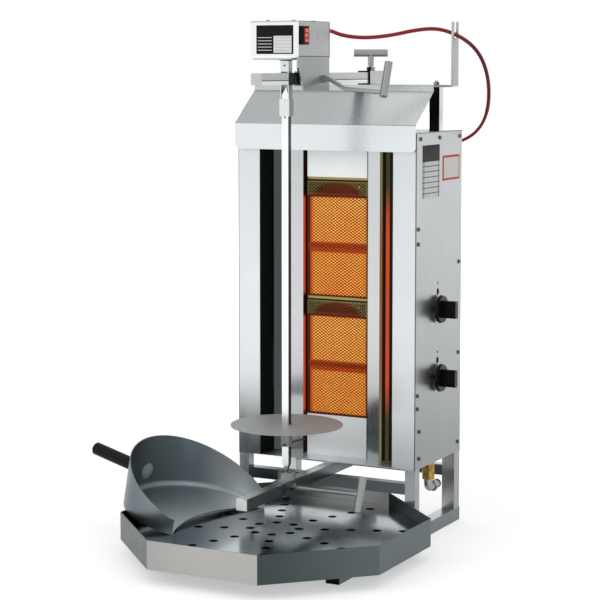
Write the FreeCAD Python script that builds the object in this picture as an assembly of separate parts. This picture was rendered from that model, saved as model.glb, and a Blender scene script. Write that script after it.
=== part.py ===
import FreeCAD, Part
import math
import os

# Gas doner kebab grill: a steel cabinet with two glowing burners, a turning
# meat spit in front of it, a motor carriage on an arm above, an octagonal
# drip tray below and a loose meat scoop standing in the tray.
# Millimetres. While modelling, the spit axis stands at X = 0, Y = 0 and the
# floor is Z = 0. X points right, Y backwards, Z up. At the end everything
# moves so that the origin is the bottom centre of the whole grill.

V = FreeCAD.Vector

# Shared clearances and sheet thicknesses
FIT = 0.05
GAP = 0.3
SHEET = 1.5
TUBE_WALL = 2.0

# Cabinet
CABINET_WIDTH = 365.0
CABINET_FRONT = 151.0
CABINET_DEPTH = 210.0
CABINET_BOTTOM = 134.0
CABINET_HEIGHT = 612.0
WING_WIDTH = 45.5
SLOT_DEPTH = 53.0
SLOT_WIDTH = 41.0
DEFLECTOR_STEP = 10.0
DEFLECTOR_RETURN = 21.0
BURNER_SIDES = 241.0
BURNER_DEPTH = 45.0
BURNER_RISE = 78.0
BURNER_ENDS = 164.0
BURNER_STANDBACK = 49.0
HEADER_HEIGHT = 33.0
DIVIDER = 7.0
MIXER_RADIUS = 11.0
PROBE_X = 40.0
PROBE_BELOW_TOP = 18.0
PROBE_RADIUS = 2.5
PROBE_LEAD = 1.5
PLAQUE_MARGIN = 3.0
PLAQUE_THICKNESS = 13.0
PLAQUE_SEAT = 8.0
MESH_PITCH_X = 15.2
MESH_PITCH_Z = 13.6
MESH_HOLE_X = 5.4
MESH_HOLE_Z = 4.4
MESH_THICKNESS = 1.2

# Base frame
RAIL = 25.0
RAIL_FRONT = -155.0
POST = 20.0
CROSSBAR_TOP = 108.0

# Arms, sleeves and clamp screws
ARM = 20.0
ARM_FRONT = -163.0
UPPER_ARM_X = 30.5
UPPER_ARM_SHORT = 29.0
HOLDER_AHEAD = 22.0
HOLDER_LENGTH = 76.0
ARM_SCREW_BEHIND = 7.0
ARM_SCREW_RADIUS = 4.0
ARM_SCREW_TURN = 27.0
LOWER_SLEEVE_LENGTH = 58.0
SLEEVE_WALL = 2.5
SLEEVE_PLAY = 0.3
SCREW_RADIUS = 4.0
NUT_FLATS = 13.0
TEE_RADIUS = 7.0
TEE_LENGTH = 63.0
TEE_TILT = 20.0
UPPER_TEE_X = 168.0
CRANK_DROP = 24.0
CRANK_SHARE = 0.75
CRANK_START = 58.0
CRANK_END = 92.0
LOWER_TEE_X = 146.0

# Motor box
BOX_WIDTH = 94.0
BOX_FRONT = -43.6
BOX_DEPTH = 119.3
BOX_ABOVE_ARM = 32.7
BOX_HEIGHT = 67.0
BOX_CORNER = 6.0
LID = 2.5
UPPER_SLEEVE_START = 40.0
CLAMP_FROM_REAR = 23.0
BUSH_RADIUS = 12.0
SWITCH_WIDTH = 21.0
SWITCH_HEIGHT = 32.0
GLAND_FLATS = 13.0
GLAND_RADIUS = 6.0

# Spit
BAR = 12.5
BAR_TOP_DROP = 47.5
BAR_TIP = 139.5
TIP_LENGTH = 20.0
TOP_POINT = 13.0
SPIT_TURN = 4.0
SHAFT_WALL = 1.3
SHAFT_DROP = 95.5
SHAFT_SLOT_DROP = 20.5
COUPLING_WALL = 1.2
COUPLING_BELOW_SHAFT = 3.0
COUPLING_HEIGHT = 30.0
COUPLING_HOLE = 1.8
PLATE_RADIUS = 100.0
PLATE_TOP = 230.0
PLATE_THICKNESS = 1.5
PLATE_HUB = 38.0
HUB_WALL = 1.0
PIN_RADIUS = 1.6
BEARING_RADIUS = 16.0
PIN_AHEAD = 20.0
PIN_BEHIND = 54.0
BEARING_SEAT = 5.0

# Hood, posts and cable fork
HOOD_AHEAD = 9.4
HOOD_LIP_DROP = 34.0
HOOD_LIP = 48.0
HOOD_RISE = 60.0
HOOD_RUN = 77.9
HOOD_FLANGE = 11.0
HOOD_OVERHANG = 2.2
HOOD_CORNER = 9.0
HOOD_POST_INSET = 15.0
HOOD_POST_BACK = 121.5
HOOD_POST_DEPTH = 17.0
HOOD_POST_HEIGHT = 81.0
STRIP_THICKNESS = 4.0
STRIP_DEPTH = 25.0
FORK_OUTREACH = 19.5
FORK_HEIGHT = 119.0
FORK_SLOT = 16.0
FORK_SLOT_DEPTH = 30.0

# Gas controls
KNOB_BACK = 100.0
KNOB_SPACING = 128.0
LOWER_KNOB_RISE = 157.0
KNOB_RADIUS = 26.0
KNOB_SKIRT = 5.5
KNOB_GRIP = 26.5
GRIP_HEIGHT = 32.0
GRIP_WIDTH = 12.0
KNOB_STANDOFF = 6.0
SPINDLE_RADIUS = 4.0
SIGHT_HEIGHT = 32.5
SIGHT_RADIUS = 6.0
DOT_HEIGHT = 48.0
DOT_RADIUS = 2.5
TAP_HALF = 12.0
TAP_HEIGHT = 32.0
MANIFOLD_RADIUS = 8.0
MANIFOLD_INSET = 50.5
FEED_RADIUS = 3.0
INLET_INSET = 17.5
INLET_DROP = 52.0
INLET_THREAD = 8.33
NUT_HEIGHT = 35.0

# Drip tray and insert
TRAY_APOTHEM = 255.0
TRAY_HEIGHT = 50.0
INSERT_TOP = 51.0
HOLE_RADIUS = 8.0
HOLE_FIRST = 43.5
HOLE_PITCH = 46.0
HOLES_IN_ROW = 5

# Scoop
SCOOP_RADIUS = 137.0
SCOOP_INSET = 94.0
SCOOP_BEHIND = 9.0
SCOOP_HEADING = -10.5
SCOOP_WALL = 1.5
SCOOP_BACK = 100.0
SCOOP_SLOPE = 0.40
SCOOP_TIP = 50.0
SCOOP_BITE = 236.0
SCOOP_SAG = 37.0
HANDLE_RADIUS = 12.0
HANDLE_LENGTH = 132.0
HANDLE_HEIGHT = 33.0
BOLT_HEAD = 15.0
BOLT_CROWN = 6.0

# Red motor cable, from the motor box over the fork into the rear panel.
# The points are where the cable bends; its runs end on them. X is drawn for
# the fork at 202, Y for a rear panel at 361, Z is above the cabinet's top.
CABLE_RADIUS = 3.5
DRAWN_FORK = 202.0
DRAWN_REAR = 361.0
DRAWN_ROUTE = [
    (25, 96, 184), (25, 117, 184), (37, 147, 174), (66, 180, 170), (104, 212, 175),
    (144, 240, 186), (182, 260, 188), (222, 282, 168), (242, 303, 140), (248, 324, 103),
    (243, 345, 64), (228, 370, 29), (205, 394, 3), (178, 413, -15), (146, 426, -27),
    (123, 435, -35), (100, 428, -42), (86, 408, -45), (86, 383, -45),
]

# Sizes that follow from the ones above
HALF = CABINET_WIDTH / 2
CABINET_REAR = CABINET_FRONT + CABINET_DEPTH
CABINET_TOP = CABINET_BOTTOM + CABINET_HEIGHT
BURNER_FACE = CABINET_FRONT + BURNER_STANDBACK
BURNER_BOTTOM = CABINET_BOTTOM + BURNER_RISE
BURNER_MODULE = (CABINET_HEIGHT - BURNER_ENDS) / 2
BURNER_WIDTH = CABINET_WIDTH - BURNER_SIDES
PROBE_HEIGHT = BURNER_MODULE - PROBE_BELOW_TOP
PLAQUE_WIDTH = BURNER_WIDTH - 4.0
PLAQUE_HEIGHT = (BURNER_MODULE - HEADER_HEIGHT - PLAQUE_MARGIN - DIVIDER) / 2 - 2.5
KNOB_Y = CABINET_FRONT + KNOB_BACK
LOWER_KNOB_Z = CABINET_BOTTOM + LOWER_KNOB_RISE
MANIFOLD_X = HALF - MANIFOLD_INSET
INLET_X = HALF - INLET_INSET
INLET_Y = KNOB_Y + 1.0
RAIL_X = HALF - RAIL / 2
RAIL_REAR = CABINET_REAR - SHEET
FRONT_POST_Y = CABINET_FRONT + SHEET + POST / 2
REAR_POST_Y = RAIL_REAR - RAIL / 2
ARM_BOTTOM = CROSSBAR_TOP
ARM_CENTRE_Z = ARM_BOTTOM + ARM / 2
SLEEVE = ARM + 2 * (SLEEVE_PLAY + SLEEVE_WALL)
HOOD_FRONT = CABINET_FRONT - HOOD_AHEAD
HOOD_LIP_BOTTOM = CABINET_TOP - HOOD_LIP_DROP
HOOD_LIP_TOP = HOOD_LIP_BOTTOM + HOOD_LIP
HOOD_CREST = HOOD_LIP_TOP + HOOD_RISE
HOOD_CREST_Y = HOOD_FRONT + HOOD_RUN
HOOD_POST_X = HALF - HOOD_POST_INSET
HOOD_POST_Y = CABINET_FRONT + HOOD_POST_BACK
STRIP_BOTTOM = CABINET_TOP + HOOD_POST_HEIGHT
FORK_X = HALF + FORK_OUTREACH
FORK_TOP = STRIP_BOTTOM + FORK_HEIGHT
UPPER_ARM_Z = STRIP_BOTTOM + STRIP_THICKNESS + SLEEVE / 2
UPPER_ARM_REAR = CABINET_REAR - UPPER_ARM_SHORT
BOX_BOTTOM = UPPER_ARM_Z + BOX_ABOVE_ARM
BOX_REAR = BOX_FRONT + BOX_DEPTH
BAR_TOP = BOX_BOTTOM - BAR_TOP_DROP
SHAFT_BOTTOM = BOX_BOTTOM - SHAFT_DROP
SHAFT_SLOT_TOP = BOX_BOTTOM - SHAFT_SLOT_DROP
COUPLING_BOTTOM = SHAFT_BOTTOM - COUPLING_BELOW_SHAFT
ROUTE_X = FORK_X / DRAWN_FORK
ROUTE_Y = (CABINET_REAR - BOX_REAR) / (DRAWN_REAR - BOX_REAR)
CABLE_ROUTE = [(x * ROUTE_X, BOX_REAR + (y - BOX_REAR) * ROUTE_Y, z + CABINET_TOP)
               for x, y, z in DRAWN_ROUTE]
BOX_TOP = BOX_BOTTOM + BOX_HEIGHT
WING_INNER = HALF - WING_WIDTH
SLOT_BACK = CABINET_FRONT + SLOT_DEPTH
DEFLECTOR_OUTER = WING_INNER - SLOT_WIDTH
BURNER_HALF = BURNER_WIDTH / 2
DEFLECTOR_INNER = BURNER_HALF + 5.0
DEFLECTOR_FRONT = SLOT_BACK - DEFLECTOR_RETURN
TRAY_TOP = RAIL + TRAY_HEIGHT
TRAY_CENTRE_Y = FRONT_POST_Y - POST / 2 + HALF - POST - (TRAY_APOTHEM + GAP) * math.sqrt(2)
SCOOP_X = SCOOP_INSET - TRAY_APOTHEM
SCOOP_Y = TRAY_CENTRE_Y + SCOOP_BEHIND
SHAFT = BAR + 2 * (GAP + SHAFT_WALL)
COUPLING = SHAFT + 2 * (GAP + COUPLING_WALL)
LEFT_RIGHT = (-1, 1)


def box(x0, x1, y0, y1, z0, z1):
    return Part.makeBox(x1 - x0, y1 - y0, z1 - z0, V(x0, y0, z0))


def rod(start, axis, radius, length):
    return Part.makeCylinder(radius, length, V(*start), V(*axis))


def cut(shape, *tools):
    for tool in tools:
        shape = shape.cut(tool)
    return shape


def join(first, *rest):
    shape = first
    for other in rest:
        shape = shape.fuse(other)
    return shape.removeSplitter()


def mirror_x(shape):
    return shape.mirror(V(0, 0, 0), V(1, 0, 0))


def flat(points, direction):
    """A closed outline of straight sides, pushed along a direction."""
    corners = [V(*p) for p in points]
    wire = Part.makePolygon(corners + [corners[0]])
    return Part.Face(wire).extrude(V(*direction))


def bent_sheet(points, thickness, height):
    """A sheet bent along a plan line, given as its inner and outer corners."""
    line = [V(*p) for p in points]
    sides = []
    for sign in (0, 1):
        shifted = []
        for i, point in enumerate(line):
            before = line[i] - line[i - 1] if i > 0 else line[1] - line[0]
            after = line[i + 1] - line[i] if i + 1 < len(line) else before
            before = before.normalize()
            after = after.normalize()
            bisector = (before.cross(V(0, 0, 1)) + after.cross(V(0, 0, 1))).normalize()
            stretch = 1 / bisector.dot(before.cross(V(0, 0, 1)))
            shifted.append(point + bisector * (sign * thickness * stretch))
        sides.append(shifted)
    outline = sides[0] + sides[1][::-1]
    wire = Part.makePolygon(outline + [outline[0]])
    return Part.Face(wire).extrude(V(0, 0, height))


def square_tube(width, wall, x, y0, y1, z):
    """A square tube along Y, centred on x and z."""
    h = width / 2
    i = h - wall
    return cut(box(x - h, x + h, y0, y1, z - h, z + h), box(x - i, x + i, y0, y1, z - i, z + i))


def upright_tube(width, depth, wall, x, y, z0, z1):
    outer = box(x - width / 2, x + width / 2, y - depth / 2, y + depth / 2, z0, z1)
    w = width / 2 - wall
    d = depth / 2 - wall
    return cut(outer, box(x - w, x + w, y - d, y + d, z0, z1))


def hexagon(centre, axis, flats, length):
    """A hexagonal prism that starts at a point and runs along an axis."""
    direction = V(*axis).normalize()
    side = direction.cross(V(0, 0, 1))
    if side.Length < 0.5:
        side = V(1, 0, 0)
    side.normalize()
    up = direction.cross(side)
    radius = flats / math.sqrt(3)
    ring = []
    for i in range(6):
        angle = math.radians(60 * i)
        ring.append(V(*centre) + side * (radius * math.cos(angle)) + up * (radius * math.sin(angle)))
    return Part.Face(Part.makePolygon(ring + [ring[0]])).extrude(direction * length)


def octagon(apothem, z, y=TRAY_CENTRE_Y):
    ring = []
    reach = apothem / math.cos(math.radians(22.5))
    for i in range(8):
        angle = math.radians(22.5 + 45 * i)
        ring.append(V(reach * math.cos(angle), y + reach * math.sin(angle), z))
    return Part.makePolygon(ring + [ring[0]])


def octagon_block(apothem, z0, z1):
    return Part.Face(octagon(apothem, z0)).extrude(V(0, 0, z1 - z0))


# Base frame

def base_rails():
    return [square_tube(RAIL, SHEET, s * RAIL_X, RAIL_FRONT, RAIL_REAR, RAIL / 2) for s in LEFT_RIGHT]


def plug(width, wall, x, y, z, facing):
    """A push-in plug for a square tube along Y; facing is -1 for a front end."""
    h = width / 2
    i = h - wall - FIT
    head = box(x - h, x + h, min(y, y + facing * 2), max(y, y + facing * 2), z - h, z + h)
    stem = box(x - i, x + i, min(y, y - facing * 10), max(y, y - facing * 10), z - i, z + i)
    return join(head, stem)


def tube_plugs():
    plugs = [plug(ARM, TUBE_WALL, 0, ARM_FRONT, ARM_CENTRE_Z, -1)]
    for s in LEFT_RIGHT:
        plugs.append(plug(RAIL, SHEET, s * RAIL_X, RAIL_FRONT, RAIL / 2, -1))
        plugs.append(plug(RAIL, SHEET, s * RAIL_X, RAIL_REAR, RAIL / 2, 1))
    return plugs


def uprights():
    posts = []
    for s in LEFT_RIGHT:
        x = s * (HALF - POST / 2)
        posts.append(upright_tube(POST, POST, TUBE_WALL, x, FRONT_POST_Y, RAIL, CABINET_BOTTOM))
        posts.append(upright_tube(RAIL, RAIL, SHEET, s * RAIL_X, REAR_POST_Y, RAIL, CABINET_BOTTOM))
    return posts


def crossbars():
    bars = []
    for y, inner in ((FRONT_POST_Y, HALF - POST), (REAR_POST_Y, HALF - RAIL)):
        z0 = CROSSBAR_TOP - POST
        h = POST / 2
        i = h - TUBE_WALL
        outer = box(-inner, inner, y - h, y + h, z0, CROSSBAR_TOP)
        hollow = box(-inner, inner, y - i, y + i, z0 + TUBE_WALL, CROSSBAR_TOP - TUBE_WALL)
        bars.append(outer.cut(hollow))
    return bars


def lower_arm():
    return [square_tube(ARM, TUBE_WALL, 0, ARM_FRONT, REAR_POST_Y + POST / 2, ARM_CENTRE_Z)]


# Cabinet

def bottom_panel():
    panel = box(-HALF + SHEET, HALF - SHEET, CABINET_FRONT + SHEET, CABINET_REAR - SHEET,
                CABINET_BOTTOM, CABINET_BOTTOM + SHEET)
    inlet = rod((INLET_X, INLET_Y, CABINET_BOTTOM), (0, 0, 1), MANIFOLD_RADIUS + GAP, SHEET)
    vents = []
    for i in (-2, -1, 0, 1, 2):
        x = 40 * i
        vents.append(box(x - 12, x + 12, 268, 274, CABINET_BOTTOM, CABINET_BOTTOM + SHEET))
    return [cut(panel, inlet, *vents)]


def side_panel(s):
    z0 = CABINET_BOTTOM
    z1 = CABINET_TOP
    outer = box(HALF - SHEET, HALF, CABINET_FRONT, CABINET_REAR, z0, z1)
    if s < 0:
        return mirror_x(outer)
    holes = []
    for z in (LOWER_KNOB_Z, LOWER_KNOB_Z + KNOB_SPACING):
        holes.append(rod((HALF - 2 * SHEET, KNOB_Y, z), (1, 0, 0), SPINDLE_RADIUS + 1.5, 3 * SHEET))
        holes.append(rod((HALF - 2 * SHEET, KNOB_Y, z + SIGHT_HEIGHT), (1, 0, 0), SIGHT_RADIUS, 3 * SHEET))
        holes.append(rod((HALF - 2 * SHEET, KNOB_Y, z + DOT_HEIGHT), (1, 0, 0), DOT_RADIUS, 3 * SHEET))
    return cut(outer, *holes)


def left_side_panel():
    return [side_panel(-1)]


def right_side_panel():
    return [side_panel(1)]


def wing_panels():
    """Front wings of the cabinet: a face, an inner wall and a short outer return."""
    line = [
        (WING_INNER, SLOT_BACK, CABINET_BOTTOM + SHEET),
        (WING_INNER, CABINET_FRONT, CABINET_BOTTOM + SHEET),
        (HALF - SHEET, CABINET_FRONT, CABINET_BOTTOM + SHEET),
    ]
    wing = bent_sheet(line, -SHEET, CABINET_HEIGHT - 2 * SHEET)
    return [mirror_x(wing), wing]


def side_reflectors():
    """Polished sheets beside the burners: slot floor, return, slanted face, inner return."""
    z = CABINET_BOTTOM + SHEET
    line = [
        (WING_INNER - SHEET, SLOT_BACK, z),
        (DEFLECTOR_OUTER, SLOT_BACK, z),
        (DEFLECTOR_OUTER, DEFLECTOR_FRONT, z),
        (DEFLECTOR_INNER, DEFLECTOR_FRONT + DEFLECTOR_STEP, z),
        (DEFLECTOR_INNER, DEFLECTOR_FRONT + DEFLECTOR_STEP + 40, z),
    ]
    sheet = bent_sheet(line, SHEET, CABINET_HEIGHT - 2 * SHEET)
    return [mirror_x(sheet), sheet]


def burner_top():
    return BURNER_BOTTOM + 2 * BURNER_MODULE


def burner_covers():
    """Plain panels above and below the burners, with folded side returns."""
    covers = []
    for z0, z1 in ((CABINET_BOTTOM + SHEET, BURNER_BOTTOM), (burner_top(), CABINET_TOP - SHEET)):
        line = [
            (-BURNER_HALF, BURNER_FACE + 30, z0),
            (-BURNER_HALF, BURNER_FACE, z0),
            (BURNER_HALF, BURNER_FACE, z0),
            (BURNER_HALF, BURNER_FACE + 30, z0),
        ]
        covers.append(bent_sheet(line, -SHEET, z1 - z0))
    return covers


def module_bottoms():
    return (BURNER_BOTTOM, BURNER_BOTTOM + BURNER_MODULE)


def plaque_bottoms(z0):
    return (z0 + PLAQUE_MARGIN, z0 + PLAQUE_MARGIN + PLAQUE_HEIGHT + DIVIDER)


def burner_bodies():
    """Each burner is an open pressed box with a rim, a divider and a gas inlet at the back."""
    bodies = []
    for z0 in module_bottoms():
        z1 = z0 + BURNER_MODULE - FIT
        outer = box(-BURNER_HALF, BURNER_HALF, BURNER_FACE + 2, BURNER_FACE + 2 + BURNER_DEPTH, z0, z1)
        hollows = []
        for z in plaque_bottoms(z0):
            w = PLAQUE_WIDTH / 2 + GAP
            seat = box(-w, w, BURNER_FACE + 2, BURNER_FACE + PLAQUE_SEAT + PLAQUE_THICKNESS,
                       z - GAP, z + PLAQUE_HEIGHT + GAP)
            plenum = box(-w + 6, w - 6, BURNER_FACE + 2, BURNER_FACE + BURNER_DEPTH,
                         z + 6, z + PLAQUE_HEIGHT - 6)
            hollows += [seat, plenum]
        link = box(-20, 20, BURNER_FACE + 12 + PLAQUE_THICKNESS, BURNER_FACE + BURNER_DEPTH,
                   z0 + 20, z1 - HEADER_HEIGHT - 20)
        header = box(-BURNER_HALF + 3, BURNER_HALF - 3, BURNER_FACE + 2, BURNER_FACE + 30,
                     z1 - HEADER_HEIGHT + 4, z1 - 8)
        inlet = rod((0, BURNER_FACE + BURNER_DEPTH - 5, z0 + 50), (0, 1, 0), MIXER_RADIUS + 0.15, 20)
        probe = rod((PROBE_X, BURNER_FACE, z0 + PROBE_HEIGHT), (0, 1, 0), PROBE_RADIUS + 0.15, 80)
        bodies.append(cut(outer, link, header, inlet, probe, *hollows))
    return bodies


def burner_plaques():
    """Ceramic tiles that glow; two in each burner."""
    tiles = []
    w = PLAQUE_WIDTH / 2
    for z0 in module_bottoms():
        for z in plaque_bottoms(z0):
            tiles.append(box(-w, w, BURNER_FACE + PLAQUE_SEAT, BURNER_FACE + PLAQUE_SEAT + PLAQUE_THICKNESS,
                             z, z + PLAQUE_HEIGHT))
    return tiles


def burner_meshes():
    """Expanded metal guards; the diamonds are twice the real pitch."""
    guards = []
    half_x = MESH_HOLE_X
    half_z = MESH_HOLE_Z
    for z0 in module_bottoms():
        z1 = z0 + BURNER_MODULE - 8
        outline = Part.makePolygon([V(-BURNER_HALF, 0, z0), V(BURNER_HALF, 0, z0), V(BURNER_HALF, 0, z1),
                                    V(-BURNER_HALF, 0, z1), V(-BURNER_HALF, 0, z0)])
        wires = [outline]
        rows = int((z1 - z0 - 10) / MESH_PITCH_Z * 2)
        for row in range(rows):
            z = z0 + 8 + row * MESH_PITCH_Z / 2
            shift = (row % 2) * MESH_PITCH_X / 2
            x = -BURNER_HALF + 8 + shift
            while x < BURNER_HALF - half_x - 1:
                wires.append(Part.makePolygon([V(x - half_x, 0, z), V(x, 0, z + half_z), V(x + half_x, 0, z),
                                               V(x, 0, z - half_z), V(x - half_x, 0, z)]))
                x += MESH_PITCH_X
        face = Part.Face(wires)
        sheet = face.extrude(V(0, MESH_THICKNESS, 0))
        sheet.translate(V(0, BURNER_FACE + 0.7, 0))
        guards.append(sheet)
    return guards


def mixing_tubes():
    """Tubes that draw in air and gas behind the burners, open at the right end."""
    tubes = []
    y = mixer_y()
    for z0 in module_bottoms():
        z = z0 + 50
        back = BURNER_FACE + BURNER_DEPTH
        main = rod((-14, y, z), (1, 0, 0), MIXER_RADIUS, 104)
        collar = rod((0, back, z), (0, 1, 0), MIXER_RADIUS, y - back)
        bore = rod((-11, y, z), (1, 0, 0), MIXER_RADIUS - SHEET, 104)
        collar_bore = rod((0, back - 1, z), (0, 1, 0), MIXER_RADIUS - SHEET, y - back + 1)
        tubes.append(cut(join(main, collar), join(bore, collar_bore)))
    return tubes


def mixer_y():
    return BURNER_FACE + BURNER_DEPTH + 24


def thermocouples():
    """Flame probes in the burner headers with their leads to the taps."""
    probes = []
    tap_rear = KNOB_Y + TAP_HALF
    x = tap_inner() + 2
    for z0, tap_z in zip(module_bottoms(), tap_heights()):
        z = z0 + PROBE_HEIGHT
        y = tap_rear + 12
        tip = rod((PROBE_X, BURNER_FACE + 12, z), (0, 1, 0), PROBE_RADIUS, 40)
        lead = swept([(PROBE_X, BURNER_FACE + 50, z), (PROBE_X, y, z), (x, y, z), (x, y, tap_z),
                      (x, tap_rear, tap_z)], PROBE_LEAD, 5)
        probes.append(join(tip, lead))
    return probes


def tap_heights():
    return (LOWER_KNOB_Z, LOWER_KNOB_Z + KNOB_SPACING)


def gas_taps():
    """Brass taps clamped on the manifold, each with a spindle boss behind the side panel."""
    taps = []
    inner = tap_inner()
    face = HALF - SHEET - 12
    for z in tap_heights():
        h = TAP_HEIGHT / 2
        body = box(inner - 4, face, KNOB_Y - TAP_HALF, KNOB_Y + TAP_HALF, z - h, z + h)
        boss = rod((face, KNOB_Y, z), (1, 0, 0), 9.0, 12 - GAP)
        outlet = rod((inner + 12, KNOB_Y + TAP_HALF, z), (0, 1, 0), 6.0, 12)
        neck = box(inner + 4, face - 6, KNOB_Y - 7, KNOB_Y + 7, z + h - 1, z + SIGHT_HEIGHT + 7)
        adjuster = rod((face - 7, KNOB_Y, z + SIGHT_HEIGHT), (1, 0, 0), SIGHT_RADIUS - 1, 18)
        pipe = rod((MANIFOLD_X, KNOB_Y, z - 30), (0, 0, 1), MANIFOLD_RADIUS + 0.15, 60 + SIGHT_HEIGHT)
        bore = rod((inner + 8, KNOB_Y, z), (1, 0, 0), SPINDLE_RADIUS + FIT, HALF - inner)
        taps.append(cut(join(body, boss, outlet, neck, adjuster), pipe, bore))
    return taps


def tap_inner():
    return MANIFOLD_X + MANIFOLD_RADIUS


def swept(points, radius, bend):
    """A round pipe along straight runs with a bend radius at each corner."""
    path = [V(*p) for p in points]
    edges = []
    start = path[0]
    for i in range(1, len(path) - 1):
        into = (path[i] - path[i - 1]).normalize()
        out = (path[i + 1] - path[i]).normalize()
        half_turn = into.getAngle(out) / 2
        reach = bend * math.tan(half_turn)
        first = path[i] - into * reach
        last = path[i] + out * reach
        centre_line = (out - into).normalize()
        middle = path[i] + centre_line * (bend / math.cos(half_turn) - bend)
        edges.append(Part.LineSegment(start, first).toShape())
        edges.append(Part.Arc(first, middle, last).toShape())
        start = last
    edges.append(Part.LineSegment(start, path[-1]).toShape())
    profile = Part.Wire(Part.Circle(path[0], path[1] - path[0], radius).toShape())
    return Part.Wire(edges).makePipeShell([profile], True, False)


def gas_pipes():
    """The manifold from the inlet to both taps, and a feed pipe with its jet to each burner."""
    top = tap_heights()[1] + 34
    solids = [swept([(INLET_X, INLET_Y, CABINET_BOTTOM + GAP), (INLET_X, INLET_Y, 165),
                     (MANIFOLD_X, KNOB_Y, 215), (MANIFOLD_X, KNOB_Y, top)], MANIFOLD_RADIUS, 22)]
    jet_y = mixer_y()
    x = tap_inner() + 12
    y = KNOB_Y + 41
    for z, z0 in zip(tap_heights(), module_bottoms()):
        jet_z = z0 + 50
        feed = swept([(x, KNOB_Y + TAP_HALF + 12, z), (x, y, z), (x, y, jet_z), (128, y, jet_z),
                      (128, jet_y, jet_z), (106, jet_y, jet_z)], FEED_RADIUS, 8)
        jet = hexagon((96, jet_y, jet_z), (1, 0, 0), 11.0, 12)
        nose = rod((88, jet_y, jet_z), (1, 0, 0), 2.5, 9)
        solids.append(join(feed, jet, nose))
    return solids


def inlet_nut():
    nut = hexagon((INLET_X, INLET_Y, CABINET_BOTTOM - NUT_HEIGHT), (0, 0, 1), 22.0, NUT_HEIGHT)
    seat = rod((INLET_X, INLET_Y, CABINET_BOTTOM - 15), (0, 0, 1), MANIFOLD_RADIUS + FIT, 15)
    return [cut(nut, seat)]


def inlet_elbow():
    """Elbow below the nut with a threaded end that points backwards."""
    z0 = CABINET_BOTTOM - 62
    z = CABINET_BOTTOM - INLET_DROP
    y = INLET_Y + 16
    bend = swept([(INLET_X, INLET_Y, CABINET_BOTTOM - NUT_HEIGHT), (INLET_X, INLET_Y, z), (INLET_X, y, z)],
                 MANIFOLD_RADIUS, MANIFOLD_RADIUS + 1)
    ring = hexagon((INLET_X, y, z), (0, 1, 0), 19.0, 10)
    thread = rod((INLET_X, y + 10, z), (0, 1, 0), INLET_THREAD, 16)
    bore = rod((INLET_X, y - 4, z), (0, 1, 0), INLET_THREAD - 3, 30)
    return [cut(join(bend, ring, thread), bore)]


def rear_panel():
    panel = box(-HALF + SHEET, HALF - SHEET, CABINET_REAR - SHEET, CABINET_REAR, CABINET_BOTTOM, CABINET_TOP)
    gx, gy, gz = CABLE_ROUTE[-1]
    holes = [rod((gx, CABINET_REAR - 2 * SHEET, gz), (0, 1, 0), GLAND_RADIUS + GAP, 3 * SHEET)]
    for row in range(6):
        for column in (-1, 0, 1):
            x = column * 90
            z = CABINET_BOTTOM + 90 + row * 16
            holes.append(box(x - 30, x + 30, CABINET_REAR - 2 * SHEET, CABINET_REAR + SHEET, z, z + 5))
    return [cut(panel, *holes)]


def top_panel():
    panel = box(-HALF + SHEET, HALF - SHEET, CABINET_FRONT + SHEET, CABINET_REAR - SHEET,
                CABINET_TOP - SHEET, CABINET_TOP)
    vents = []
    for i in (-3, -2, -1, 0, 1, 2, 3):
        for row in (0, 1, 2):
            x = 36 * i
            y = CABINET_FRONT + 20 + 14 * row
            vents.append(box(x - 12, x + 12, y, y + 5, CABINET_TOP - SHEET, CABINET_TOP))
    return [cut(panel, *vents)]


def screw_places():
    """Y and Z of the side panel screws."""
    y0 = CABINET_FRONT + 11
    y1 = CABINET_REAR - 11
    top = CABINET_TOP - 11
    low = CABINET_BOTTOM + 19
    places = [(y0 + 8, top), (KNOB_Y + 5, top), (y1, top), (y0 + 8, low), (y1, low)]
    places += [(y0, low + rise) for rise in (93, 117, 393, 420)]
    places += [(y0 + 8, low + 50), (y1, low + 172), (y1, low + 345)]
    return places


def panel_screws():
    screws = []
    for y, z in screw_places():
        for s in LEFT_RIGHT:
            head = rod((s * HALF, y, z), (s, 0, 0), 3.6, 2.2)
            slot = box(s * HALF + s * 1.2 - 1, s * HALF + s * 1.2 + 1, y - 5, y + 5, z - 0.5, z + 0.5)
            slot.translate(V(s * 1.0, 0, 0))
            screws.append(head.cut(slot))
    return screws


def name_plates():
    """Blank plates on the right panel."""
    y0 = CABINET_FRONT + 28
    top = CABINET_TOP - 23
    tall = box(HALF, HALF + 0.6, y0, y0 + 75, top - 96, top)
    small = box(HALF, HALF + 0.6, y0 + 91, y0 + 169, top - 68, top - 22)
    return [tall, small]


# Hood, posts, strip and arm holder

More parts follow.
